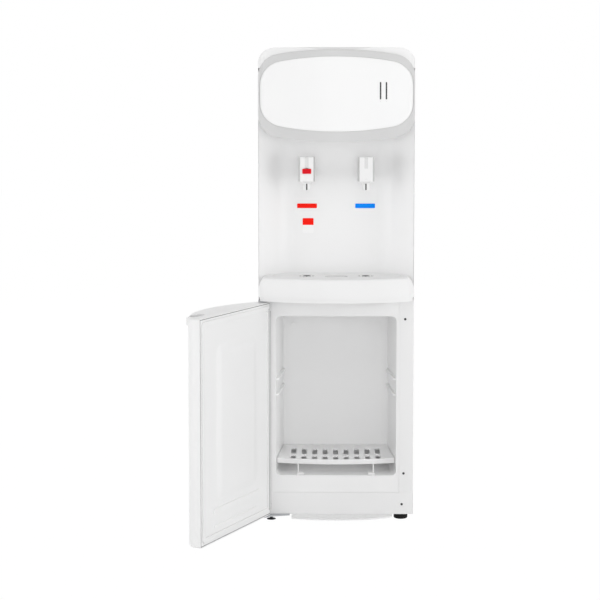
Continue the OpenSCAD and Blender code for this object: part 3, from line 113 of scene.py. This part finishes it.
def add(tree, kind, links=None, **settings):
    """Adds one node, sets its options and named inputs, and links outputs into inputs."""
    made = tree.nodes.new(kind)
    for key, value in settings.items():
        if hasattr(made, key):
            setattr(made, key, value)
        else:
            made.inputs[key.replace("_", " ")].default_value = value
    for key, source in (links or {}).items():
        tree.links.new(source, made.inputs[key])
    return made


def blank_material(name):
    """A new material with an empty node tree."""
    material = bpy.data.materials.new(name)
    material.use_nodes = True
    material.node_tree.nodes.clear()
    return material, material.node_tree


def tinted(tree, factor, code, shade):
    """A colour that drifts between an sRGB code and a darker shade of it."""
    full = srgb(code)
    tint = add(tree, "ShaderNodeMix", data_type="RGBA", links={"Factor": factor})
    tint.inputs[6].default_value = full
    tint.inputs[7].default_value = tuple(c * shade for c in full[:3]) + (1,)
    return tint.outputs[2]


def pick(*objects):
    """Selects these objects only, and makes the first of them active."""
    bpy.ops.object.select_all(action="DESELECT")
    for item in objects:
        item.hide_set(False)
        item.select_set(True)
    bpy.context.view_layer.objects.active = objects[0]

# %% [markdown]
# The studio is a large pale sweep in a white room. One softbox by the camera reaches into
# the storage compartment, a high one lights the flat tops, and four at the sides make the
# slanted walls of the niche brighter than its middle, the two low ones also under the
# head. Two more stand behind for the back. No mirror ray sees a softbox, so the glossy
# panel shows the plain white room. The white behind the cooler is the sweep's own colour
# for camera and mirror rays, so the object keeps its quiet light.

# %% Studio
room_light, paper_glow = 0.47, 1.006
glow_share = 0.99  # of what the camera sees of the paper; the rest is its lit surface

world = bpy.data.worlds.new("white_room")
bpy.context.scene.world = world
world.use_nodes = True
room = world.node_tree
room.nodes.clear()
ray = add(room, "ShaderNodeLightPath")
clear_ray = add(room, "ShaderNodeMath", operation="MAXIMUM",
                links={0: ray.outputs["Is Camera Ray"], 1: ray.outputs["Is Transmission Ray"]})
seen = add(room, "ShaderNodeMath", operation="MAXIMUM",
           links={0: clear_ray.outputs[0], 1: ray.outputs["Is Glossy Ray"]})
around = add(room, "ShaderNodeBackground", Color=(1, 1, 1, 1), Strength=room_light)
behind = add(room, "ShaderNodeBackground", Color=(1, 1, 1, 1), Strength=1.0)
sky = add(room, "ShaderNodeMixShader",
          links={0: seen.outputs[0], 1: around.outputs[0], 2: behind.outputs[0]})
add(room, "ShaderNodeOutputWorld", links={"Surface": sky.outputs[0]})

bpy.ops.mesh.primitive_plane_add(size=24, location=(0, 0, -0.0005))
floor = bpy.context.object
floor.name = "studio_floor"
paper, tree = blank_material("seamless_paper_white")
ray = add(tree, "ShaderNodeLightPath")
matte = add(tree, "ShaderNodeBsdfDiffuse", Color=srgb("#F4F4F4"))
glow = add(tree, "ShaderNodeEmission", Color=(1, 1, 1, 1), Strength=paper_glow)
clear = add(tree, "ShaderNodeMixShader", links={1: matte.outputs[0], 2: glow.outputs[0]})
clear.inputs[0].default_value = glow_share
bright = add(tree, "ShaderNodeMath", operation="MAXIMUM",
             links={0: ray.outputs["Is Camera Ray"], 1: ray.outputs["Is Glossy Ray"]})
sweep = add(tree, "ShaderNodeMixShader",
            links={0: bright.outputs[0], 1: matte.outputs[0], 2: clear.outputs[0]})
add(tree, "ShaderNodeOutputMaterial", links={"Surface": sweep.outputs[0]})
floor.data.materials.append(paper)

softboxes = {  # place in metres, edge in metres, power in watts
    "front": ((0.0, -3.6, 0.7), 1.4, 19), "high": ((0.0, -2.4, 3.2), 2.6, 15),
    "left": ((-3.3, -1.25, 1.3), 2.6, 18), "right": ((3.3, -1.25, 1.3), 2.6, 24),
    "low_left": ((-2.6, -1.5, 0.25), 1.6, 15), "low_right": ((2.6, -1.5, 0.25), 1.6, 15),
    "back_left": ((-2.2, 2.9, 1.5), 1.6, 36), "back_right": ((2.2, 2.9, 1.5), 1.6, 36),
}
middle_of_cooler = Vector((0, 0, 0.5))
for name, (place, size, power) in softboxes.items():
    lamp = bpy.data.objects.new("softbox_" + name, bpy.data.lights.new("softbox_" + name, "AREA"))
    bpy.context.scene.collection.objects.link(lamp)
    lamp.data.size, lamp.data.energy = size, power
    lamp.location = place
    lamp.visible_glossy = lamp.visible_camera = False
    lamp.rotation_euler = (middle_of_cooler - Vector(place)).to_track_quat("-Z", "Y").to_euler()
bpy.context.scene.view_settings.view_transform = "Standard"
print("studio lit by", len(softboxes), "softboxes")

# %% [markdown]
# Most of the cooler is injection moulded ABS. Its surface is a faint orange peel, left by
# the tool's polish, and its gloss varies a little. The real grain is too fine to show
# from four metres, so it is drawn a few millimetres wide. The shelf is taken to be of a
# milky polystyrene. The light that passes through it lightens the space below a little.

# %% Plastics
def moulding(name, code, rough=0.34, peel=2.5, depth=0.03, shade=0.965, coat=0.0, shine=0.5,
             milky=0.0):
    """A moulded plastic: slight colour drift, gloss drift and orange peel of a size in mm."""
    material, tree = blank_material(name)
    place = add(tree, "ShaderNodeTexCoord").outputs["Object"]
    drift = add(tree, "ShaderNodeTexNoise", Scale=7.0, Detail=2.0, links={"Vector": place})
    tint = tinted(tree, drift.outputs[0], code, shade)
    gloss = add(tree, "ShaderNodeMapRange", To_Min=rough - 0.04, To_Max=rough + 0.04,
                links={"Value": drift.outputs[0]})
    grain = add(tree, "ShaderNodeTexNoise", Scale=1000 / peel, Detail=2.0, links={"Vector": place})
    bump = add(tree, "ShaderNodeBump", Strength=depth * 4, Distance=0.0002,
               links={"Height": grain.outputs[0]})
    skin = add(tree, "ShaderNodeBsdfPrincipled", IOR=1.53,
               links={"Base Color": tint, "Roughness": gloss.outputs[0], "Normal": bump.outputs[0]})
    skin.inputs["Coat Weight"].default_value = coat
    skin.inputs["Specular IOR Level"].default_value = shine
    skin.inputs["Subsurface Weight"].default_value = milky
    skin.inputs["Subsurface Radius"].default_value = (1, 1, 1)
    skin.inputs["Subsurface Scale"].default_value = 0.006
    add(tree, "ShaderNodeOutputMaterial", links={"Surface": skin.outputs[0]})
    return material


white_abs = moulding("moulded_white_ABS", "#F0F0F0")
inner_abs = moulding("satin_white_ABS", "#F3F3F3", rough=0.42)
niche_abs = moulding("niche_white_ABS", "#F6F6F6", rough=0.4)
liner_hips = moulding("vacuum_formed_HIPS", "#F8F8F8", rough=0.5, peel=4.0)
grey_abs = moulding("moulded_grey_ABS", "#D2D2D2", rough=0.3)
shelf_ps = moulding("milky_white_polystyrene", "#FAFAFA", rough=0.42, milky=0.8)
panel_pmma = moulding("high_gloss_PMMA", "#F7F7F7", rough=0.09, depth=0.002, coat=0.4)
lens_pc = moulding("smoked_polycarbonate", "#3A3A3D", rough=0.12, depth=0.002)
red_pc = moulding("red_moulded_ABS", "#DA0018", rough=0.35, shine=0.2)
green_pc = moulding("green_moulded_ABS", "#1F7A3F", rough=0.25)
# Real black for the switch plate and cable gland; also used as painted shade in the drains.
black_pp_and_painted_shade = moulding("black_moulded_PP_and_painted_shade", "#1B1B1C", rough=0.45)
print("materials so far:", len(bpy.data.materials))

# %% [markdown]
# The sheet steel has a powder coat, with a wider peel than a moulding. The bare steel is
# zinc plated, the tanks are drawn stainless steel, and the lines are copper. Rubber, foam
# and printed film follow, with the same recipe as the mouldings.

# %% Metals, coats, rubber and film
def bare_metal(name, code, rough, grain, stretch=(1, 1, 1)):
    """A metal whose gloss is broken by marks of a size in mm, drawn out along an axis."""
    material, tree = blank_material(name)
    place = add(tree, "ShaderNodeTexCoord").outputs["Object"]
    turn = add(tree, "ShaderNodeMapping", links={"Vector": place})
    turn.inputs["Scale"].default_value = stretch
    marks = add(tree, "ShaderNodeTexNoise", Scale=1000 / grain, Detail=4.0,
                links={"Vector": turn.outputs[0]})
    tint = tinted(tree, marks.outputs[0], code, 0.9)
    gloss = add(tree, "ShaderNodeMapRange", To_Min=rough - 0.08, To_Max=rough + 0.08,
                links={"Value": marks.outputs[0]})
    bump = add(tree, "ShaderNodeBump", Strength=0.08, Distance=0.0001,
               links={"Height": marks.outputs[0]})
    skin = add(tree, "ShaderNodeBsdfPrincipled", Metallic=1.0,
               links={"Base Color": tint, "Roughness": gloss.outputs[0], "Normal": bump.outputs[0]})
    add(tree, "ShaderNodeOutputMaterial", links={"Surface": skin.outputs[0]})
    return material


powder_coat = moulding("powder_coated_steel_white", "#EFEFEF", rough=0.38, peel=3.5, depth=0.05)
zinc_steel = bare_metal("zinc_plated_steel", "#B9BBBE", 0.38, 6.0)
stainless = bare_metal("drawn_stainless_steel", "#C6C8CA", 0.28, 3.0, (1, 1, 0.05))
copper = bare_metal("soft_copper", "#C98662", 0.3, 5.0)
black_enamel = moulding("black_enamelled_steel", "#171718", rough=0.3, peel=3.0, depth=0.05)
feet_rubber = moulding("black_nitrile_rubber", "#121213", rough=0.7, peel=1.5, depth=0.12,
                       shine=0.2)
gasket_pvc = moulding("soft_PVC_gasket", "#F1F1F1", rough=0.55, peel=1.5, depth=0.06)
silicone = moulding("silicone_hose", "#E9E7E0", rough=0.5)
tank_foam = moulding("expanded_polystyrene", "#F1EFE6", rough=0.8, peel=4.0, depth=0.4)
mica = moulding("mica_heater_band", "#B7AD98", rough=0.6)
red_film = moulding("red_printed_film", "#FF1D0E", rough=0.5, depth=0.004, shade=0.99, shine=0.12)
blue_film = moulding("blue_printed_film", "#008CFF", rough=0.5, depth=0.004, shade=0.99, shine=0.12)
white_film = moulding("white_printed_film", "#FAFAFA", rough=0.4, depth=0.004)

# %% [markdown]
# Every solid first gets the finish of its real material.

# %% Finishes of the solids
finishes = {
    powder_coat: ["left_side_panel", "right_side_panel", "rear_panel"],
    white_abs: ["plinth", "tray_housing", "head_shell", "top_cover", "door_shell", "drip_grille",
                "bottle_seat", "bottle_probe", "tank_lid", "hot_tap_body", "cold_tap_body",
                "tap_nuts", "hot_lever", "cold_lever", "hot_plunger", "cold_plunger",
                "drain_valve", "drain_cap"],
    inner_abs: ["door_liner", "face_frame"],
    niche_abs: ["niche_panel"],
    shelf_ps: ["shelf", "shelf_legs"],
    liner_hips: ["cabinet_liner", "drip_tray"],
    grey_abs: ["bezel"],
    panel_pmma: ["display_panel"],
    lens_pc: ["indicator_lenses"],
    red_pc: ["hot_lock", "hot_switch"],
    green_pc: ["cold_switch"],
    black_pp_and_painted_shade: ["switch_plate", "cable_gland"],
    zinc_steel: ["base_pan", "hinge_brackets", "front_screws", "tank_decks", "lever_pins"],
    stainless: ["cold_tank", "hot_tank"],
    copper: ["evaporator", "filter_drier", "refrigerant_lines"],
    black_enamel: ["compressor", "condenser_tube", "condenser_wires"],
    feet_rubber: ["feet", "compressor_grommets"],
    gasket_pvc: ["door_gasket"],
    silicone: ["hot_hose", "cold_hoses"],
    tank_foam: ["cold_insulation", "hot_insulation"],
    mica: ["heater_band"],
    red_film: ["hot_label", "hot_marker"],
    blue_film: ["cold_label"],
}
for material, names in finishes.items():
    for name in names:
        slots = nodes[name].data.materials
        if not slots:
            slots.append(material)
        for i in range(len(slots)):
            slots[i] = material
print("finished", sum(len(v) for v in finishes.values()), "solids")

# %% [markdown]
# A moulded part has no knife edges: each corner is rolled by the tool's radius. A copy of
# the solid is merged into one skin, its flat triangles are dissolved, and a Bevel
# modifier rolls its corners. A Weighted Normal modifier then keeps the wide flat faces
# flat, because plain smooth shading would bend them towards the small roll. The solid
# itself stays hidden under the copy.

# %% Rolled edges
body_of = {n: body for body, names in frame["record"]["behaviour"]["bodies"].items() for n in names}
sharp_angle = math.radians(30)


def open_mesh(piece):
    """Opens a piece in edit mode, with all of it selected."""
    pick(piece)
    bpy.ops.object.mode_set(mode="EDIT")
    bpy.ops.mesh.select_all(action="SELECT")


def close_mesh():
    """Back to object mode."""
    bpy.ops.object.mode_set(mode="OBJECT")


def fix_place():
    """Moves the selected pieces' place, turn and scale into their meshes."""
    bpy.ops.object.transform_apply(location=True, rotation=True, scale=True)


def merged(name):
    """A copy of a solid, with its loose triangles merged and its flat faces joined."""
    pick(nodes[name])
    bpy.ops.object.duplicate()
    piece = bpy.context.object
    piece.name = name + "_skin"
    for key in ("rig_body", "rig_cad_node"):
        if key in piece:
            del piece[key]
    piece.parent = None
    open_mesh(piece)
    bpy.ops.mesh.remove_doubles(threshold=0.01 * mm)
    bpy.ops.mesh.dissolve_limited(angle_limit=math.radians(0.5))
    close_mesh()
    return piece


def weigh_edges(piece, weight):
    """Gives each sharp edge the share of the roll that weight(middle, direction) names."""
    shape = bmesh.new()
    shape.from_mesh(piece.data)
    layers = shape.edges.layers.float
    layer = layers.get("bevel_weight_edge") or layers.new("bevel_weight_edge")
    for edge in shape.edges:
        sharp = len(edge.link_faces) == 2 and edge.calc_face_angle(0) > sharp_angle
        ends = [v.co / mm for v in edge.verts]
        edge[layer] = weight((ends[0] + ends[1]) / 2, ends[1] - ends[0]) if sharp else 0.0
    shape.to_mesh(piece.data)
    shape.free()


def roll_corners(piece, width, segments=3, weighted=False):
    """Rolls the sharp or the weighted edges of a piece to a radius in mm."""
    pick(piece)
    roll = piece.modifiers.new("roll", "BEVEL")
    roll.width, roll.segments = width * mm, segments
    roll.limit_method = "WEIGHT" if weighted else "ANGLE"
    roll.angle_limit, roll.use_clamp_overlap = sharp_angle, True
    roll.miter_outer = "MITER_ARC"
    bpy.ops.object.modifier_apply(modifier="roll")
    return piece


def settled(piece, name):
    """Shades a finished skin, and lets it ride and stand for its solid."""
    pick(piece)
    bpy.ops.object.shade_smooth_by_angle(angle=math.radians(40))
    flat = piece.modifiers.new("flat", "WEIGHTED_NORMAL")
    flat.weight, flat.keep_sharp = 80, True
    bpy.ops.object.modifier_apply(modifier="flat")
    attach(piece, body_of[name])
    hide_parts(name)
    return piece


def rolled(name, width, segments=3, weight=None):
    """A skin for a solid, its sharp corners rolled to a radius in mm."""
    piece = merged(name)
    if weight:
        weigh_edges(piece, weight)
    if width:
        roll_corners(piece, width, segments, bool(weight))
    print("rolled", name, len(piece.data.polygons), "faces")
    return settled(piece, name)


rolls = {
    "tray_housing": 0.8, "bezel": 0.8, "display_panel": 0.4, "head_shell": 0.8, "top_cover": 1.0,
    "niche_panel": 0, "door_shell": 0, "plinth": 0.6, "door_gasket": 0.5, "bottle_seat": 0.6,
    "left_side_panel": 0.9, "right_side_panel": 0.9, "hot_tap_body": 0.4, "cold_tap_body": 0.4,
    "hot_lock": 0.5, "feet": 0.8, "switch_plate": 0.5, "drain_cap": 0.5, "cable_gland": 0.4,
}
for name, width in rolls.items():
    rolled(name, width)

# %% [markdown]
# Some pieces have more than one radius. There each edge carries a weight for the Bevel
# modifier, its share of the widest roll. The mouth of the storage compartment is rolled
# wide, and the face frame's other edges get a quarter of that. The shelf is rolled along
# its front lip only, and its slots keep their crisp edges.

# %% Face frame and shelf
mouth_half_width, mouth_bottom, mouth_top = 122, 60, 425
mouth_front = front_y + 1.5


def mouth_weight(middle, along):
    inside = abs(middle.x) < mouth_half_width and mouth_bottom < middle.z < mouth_top
    return (1.0 if middle.y < mouth_front else 0.0) if inside else 0.25


rolled("face_frame", 2.3, segments=4, weight=mouth_weight)

lip_back, slots_front, slots_half_width = -104, -130, 92
slots_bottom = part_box("shelf")[1][2] / mm - 3.2


def lip_weight(middle, along):
    front = middle.y < lip_back and abs(along.z) < 0.5
    slot = (middle.z > slots_bottom and abs(middle.x) < slots_half_width
            and middle.y > slots_front)
    return 1.0 if front and not slot else 0.0


rolled("shelf", 1.0, weight=lip_weight)

# %% [markdown]
# The door's inner panel has two low bars that stand out with soft shoulders. Their edges
# get the full roll, and the joints with the shell a small one.

# %% Door's inner panel
bars_bottom, bars_top = 20, 90


def bar_weight(middle, along):
    return 1.0 if bars_bottom < middle.z < bars_top else 0.25


rolled("door_liner", 1.7, segments=4, weight=bar_weight)

# %% [markdown]
# The storage liner is vacuum formed: the hot sheet can't reach into a sharp corner, so its
# back wall runs into the sides in a roll, while the ribs keep a small one.

# %% Storage liner
liner_low, liner_high = [[v / mm for v in corner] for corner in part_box("cabinet_liner")]
back_near, back_far = liner_high[1] - 2.6, liner_high[1] - 0.9
rim_x, rim_bottom, rim_top = 100, liner_low[2] + 40, liner_high[2] - 40


def liner_weight(middle, along):
    back = back_near < middle.y < back_far
    rim = abs(middle.x) > rim_x or not rim_bottom < middle.z < rim_top
    return 1.0 if back and rim else 0.08


rolled("cabinet_liner", 9.5, segments=6, weight=liner_weight)

# %% [markdown]
# Small round pieces are turned: a profile is drawn as radius and height, and Spin sweeps
# it round the axis. Blocks and blades serve as tools for a Boolean modifier, which cuts
# slots and recesses as a mill would.

# %% Turning and cutting
def turned(name, profile, centre, axis=(0, 0, 1), steps=32):
    """Spins a profile of (radius, height) in mm round an axis through a centre in mm."""
    mesh = bpy.data.meshes.new(name)
    piece = bpy.data.objects.new(name, mesh)
    bpy.context.scene.collection.objects.link(piece)
    mesh.from_pydata([(r * mm, 0, h * mm) for r, h in profile],
                     [(i, i + 1) for i in range(len(profile) - 1)], [])
    open_mesh(piece)
    bpy.ops.mesh.spin(steps=steps, angle=2 * math.pi, center=(0, 0, 0), axis=(0, 0, 1))
    bpy.ops.mesh.select_all(action="SELECT")
    bpy.ops.mesh.remove_doubles(threshold=0.002 * mm)
    bpy.ops.mesh.normals_make_consistent(inside=False)
    close_mesh()
    piece.location = Vector(centre) * mm
    piece.rotation_euler = Vector(axis).to_track_quat("Z", "Y").to_euler()
    fix_place()
    return piece


def block(name, low, high):
    """A cuboid between two corners in mm."""
    centre = [(a + b) / 2 * mm for a, b in zip(low, high)]
    bpy.ops.mesh.primitive_cube_add(size=1, location=centre)
    made = bpy.context.object
    made.name, made.scale = name, [(b - a) * mm for a, b in zip(low, high)]
    fix_place()
    return made


def cut_by(piece, *tools):
    """Cuts the tools out of a piece, and throws them away."""
    for tool in tools:
        pick(piece)
        cut = piece.modifiers.new("cut", "BOOLEAN")
        cut.operation, cut.object, cut.solver = "DIFFERENCE", tool, "EXACT"
        bpy.ops.object.modifier_apply(modifier="cut")
        bpy.data.objects.remove(tool)


def copy_at(piece, place):
    """A copy with its own mesh, moved by a place in mm."""
    pick(piece)
    bpy.ops.object.duplicate()
    bpy.context.object.location = Vector(place) * mm
    fix_place()
    return bpy.context.object


def joined(name, pieces):
    """One piece made of several."""
    pick(*pieces)
    bpy.ops.object.join()
    bpy.context.object.name = name
    return bpy.context.object


def dressed(piece, material, node, smooth=35, replaces=False):
    """Gives a new piece its finish, and lets it ride with the body that a solid is on."""
    pick(piece)
    piece.data.materials.clear()
    piece.data.materials.append(material)
    bpy.ops.object.shade_smooth_by_angle(angle=math.radians(smooth))
    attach(piece, body_of[node])
    if replaces:
        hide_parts(node)
    print("dressed", piece.name, len(piece.data.polygons), "faces")

# %% [markdown]
# Six screws hold the front of the cabinet together. Their heads lie flush, because the
# door closes over them. They are black zinc plated, so they read as small dark dots. One
# screw is turned, its cross recess is cut with two blades, and it is copied to its six
# places.

# %% Front screws
black_zinc = bare_metal("black_zinc_plated_steel", "#4C4D50", 0.42, 1.5)
head_r, shank_r, shank_end = 2.4, 1.7, 13
screw = turned("screw", [(0, 0.1), (1.9, 0.12), (2.2, 0.2), (head_r, 0.4), (head_r, 1.2),
                         (shank_r, 1.2), (shank_r, shank_end), (0, shank_end)],
               (0, 0, 0), axis=(0, 1, 0), steps=24)
cut_by(screw, block("blade", (-1.4, -1, -0.26), (1.4, 0.8, 0.26)),
       block("blade", (-0.26, -1, -1.4), (0.26, 0.8, 1.4)))
screw_places = [(138, 406.3), (136, 94), (132.6, 31)]
screws = [copy_at(screw, (side * x, front_y, z)) for x, z in screw_places for side in (-1, 1)]
bpy.data.objects.remove(screw)
dressed(joined("flush_head_screws", screws), black_zinc, "front_screws", replaces=True)

# %% [markdown]
# The press lever is a smooth cap. Its cheeks and the thumb groove down its middle are
# painted a shade darker than its front: painted shade, for side faces turned from the light
# and for the sunk groove. The cold one, which has no lock button, has a short stepped ledge
# on each side of the groove. The ledges are milled first, then the corners are rolled, and
# last the cheeks and the groove are picked out by the way they face and take the painted
# shade.

# %% Levers
# Painted shade: a grey for the levers' cheeks and the grille dish's wall, a light grey for the sunk
# groove.
painted_shade_grey = moulding("painted_shade_grey_ABS", "#C2C2C2", rough=0.4)
groove_painted_shade = moulding("groove_painted_shade_ABS", "#E2E2E2", rough=0.4)
cheek_inside, groove_half_width = 12, 3.6
ledges = [(-11, -2.5, 693.2, 694.6), (2.5, 11, 693.2, 694.6), (-2.5, 2.5, 686.2, 687.4)]
for name, x in (("hot_lever", -spout_x), ("cold_lever", spout_x)):
    lever_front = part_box(name)[0][1] / mm
    lever = merged(name)
    if name == "cold_lever":
        cut_by(lever, *[block("ledge", (x + left, lever_front - 1, low),
                              (x + right, lever_front + 0.5, high))
                        for left, right, low, high in ledges])
    lever = settled(roll_corners(lever, 0.7), name)
    lever.data.materials.clear()
    for finish in (white_abs, painted_shade_grey, groove_painted_shade):
        lever.data.materials.append(finish)
    # Cheek faces and groove faces get the painted shade.
    for face in lever.data.polygons:
        aside = abs(face.center.x / mm - x)
        in_from_front = face.center.y / mm - lever_front
        cheek = abs(face.normal.x) > 0.4 and aside > cheek_inside
        sunk = 0.02 < in_from_front < 1.6
        groove = aside < groove_half_width and sunk and face.normal.y < -0.5
        face.material_index = 1 if cheek else 2 if groove else 0
    print("made", name, len(lever.data.polygons), "faces")

# %% [markdown]
# Each nozzle holds a black tube, seen through the slot in its front: painted shade, dark
# as the shaded inside of the bore. It is a short tube with rolled ends, pressed up into the
# bore.

# %% Nozzle sleeves of painted shade
# Painted shade: a black for the dark inside of each nozzle.
sleeve_painted_shade = moulding("painted_shade_black_sleeve", "#0C0C0D", rough=0.5, shine=0.15)
sleeve_profile = [(3.3, 0.3), (3.6, 0), (4.1, 0), (4.38, 0.3), (4.38, 16.5), (3.3, 16.5),
                  (3.3, 0.3)]
for side, node in ((-1, "hot_tap_body"), (1, "cold_tap_body")):
    sleeve = turned(node.replace("tap_body", "nozzle_shade_sleeve"), sleeve_profile,
                    (side * spout_x, spout_y, 664.3))
    dressed(sleeve, sleeve_painted_shade, node)

# %% [markdown]
# The small plate under the red label has two plain fields, red above and white below. The
# solid's copy is bisected at their border, and each half gets its own printed film.

# %% Two-tone marker
border_z = 590.5 * mm
marker = merged("hot_marker")
open_mesh(marker)
bpy.ops.mesh.bisect(plane_co=(0, 0, border_z), plane_no=(0, 0, 1))
close_mesh()
marker.data.materials.append(white_film)
for face in marker.data.polygons:
    face.material_index = 1 if face.center.z < border_z else 0
settled(marker, "hot_marker")
print("marker", [m.name for m in marker.data.materials])

# %% [markdown]
# Two tiny lamps sit under the light slits. Each is a lens with a low dome that stands a
# tenth of a millimetre out of the panel, turned round the panel's own normal there.

# %% Indicator dots
dot_profile = [(0, 0.12), (0.45, 0.08), (0.75, -0.05), (0.75, -0.6), (0, -0.6)]
dot_places = [((85.2, -193.78, 839.6), (0.307, -0.952, 0)),
              ((96.8, -189.97, 839.6), (0.347, -0.938, 0))]
dots = [turned("dot", dot_profile, place, axis, steps=16) for place, axis in dot_places]
dressed(joined("indicator_dots", dots), grey_abs, "display_panel")

# %% [markdown]
# A black cup is put into each drain of the grille as painted shade. It lines the hole and
# the ring of slots, which is why they look dark from the front as shaded holes do, and a
# low knob stands up in its middle. The cup is turned, and the walls of the holes in the
# grille's own skin take its black as well, painted shade. The shallow dish between the
# drains gets a grey wall, painted shade too.

# %% Grille, with painted shade in its drains and dish
drain_reach, dish_half_width, dish_half_depth, dish_y = 17.5, 24, 15, -141.5
grille = settled(merged("drip_grille"), "drip_grille")
# Walls of the drain holes take black and the dish's wall grey: painted shade.
grille.data.materials.append(black_pp_and_painted_shade)
grille.data.materials.append(painted_shade_grey)
for face in grille.data.polygons:
    spot = face.center / mm
    upright = abs(face.normal.z) < 0.6
    in_drain = math.hypot(abs(spot.x) - spout_x, spot.y - spout_y) < drain_reach
    in_dish = abs(spot.x) < dish_half_width and abs(spot.y - dish_y) < dish_half_depth
    face.material_index = 1 if upright and in_drain else 2 if upright and in_dish else 0
cup_profile = [(0, -7), (6.4, -7), (7.2, -6.2), (7.2, -1.2), (8, -0.8), (16.6, -0.8),
               (17, -0.5), (17, -0.1), (8.2, -0.1), (7.9, -0.2), (6.4, -0.9), (6.3, 2.6),
               (5.6, 3.4), (0, 3.6)]
cups = [turned("cup", cup_profile, (side * spout_x, spout_y, 490.1), steps=36)
        for side in (-1, 1)]
dressed(joined("drain_shade_cups", cups), black_pp_and_painted_shade, "drip_grille")

# %% [markdown]
# Where the door's outer shell meets its inner panel, a thin dark grey ring is painted
# shade: it stands for the shadow in the joint and draws a fine line round the door. It is
# modelled as a flat ring on the closed door, with a dark strip of painted shade in the
# crease of the gasket beside the hinge, then swung open about the hinge pins.

# %% Painted shade of the door's joint
shade_ring_width, shade_ring_height, shade_ring_thickness, shade_ring_depth = 303.7, 425.5, 1.0, 0.5
hinge = Vector((hinge_x, hinge_y, 0)) * mm
swing = (Matrix.Translation(hinge) @ Matrix.Rotation(math.radians(-door_open), 4, "Z")
         @ Matrix.Translation(-hinge))
# Painted shade: a dark grey for the joint's gap and the gasket's crease.
joint_painted_shade = moulding("painted_joint_shade_grey", "#6F6F6F", rough=0.6, peel=1.5, shine=0.2)
bpy.ops.mesh.primitive_plane_add(size=1, location=(0, -140.33 * mm, 227.3 * mm),
                                 rotation=(math.radians(90), 0, 0))
shade_ring = bpy.context.object
shade_ring.name, shade_ring.scale = "door_joint_shade", (shade_ring_width * mm, shade_ring_height * mm, 1)
fix_place()
open_mesh(shade_ring)
bpy.ops.mesh.inset(thickness=shade_ring_thickness * mm, depth=0)
bpy.ops.mesh.delete(type="FACE")
bpy.ops.mesh.select_all(action="SELECT")
bpy.ops.mesh.extrude_region_move(TRANSFORM_OT_translate={"value": (0, -shade_ring_depth * mm, 0)})
bpy.ops.mesh.select_all(action="SELECT")
bpy.ops.mesh.normals_make_consistent(inside=False)
close_mesh()
crease_shade = block("crease_shade", (-143.3, -137.95, 24), (-141.1, -137.7, 430))
shade_ring = joined("door_joint_shade", [shade_ring, crease_shade])
shade_ring.matrix_world = swing
fix_place()
dressed(shade_ring, joint_painted_shade, "door_liner", smooth=20)

# %% [markdown]
# Two small dark marks in the photograph are guessed at here. A thin grey line beside the
# hinge is made as a wiper strip on the cabinet's edge, and a dark disc at the floor, under
# the lower hinge plate, as a levelling screw with a flat head.

# %% Wiper strip and levelling screw
wiper = block("wiper_strip", (-131.5, front_y - 0.2, 20.5), (-130.6, front_y + 0.2, 423))
dressed(wiper, moulding("wiper_grey_TPE", "#A2A2A2", rough=0.6), "left_side_panel")
levelling_profile = [(0, 0.8), (8, 0.8), (9, 1.3), (9, 1.9), (8, 2.5), (3, 2.6), (3, 8.1),
                     (0, 8.1)]
dressed(turned("levelling_screw", levelling_profile, (-130, -140, 0)), black_zinc,
        "hinge_brackets")
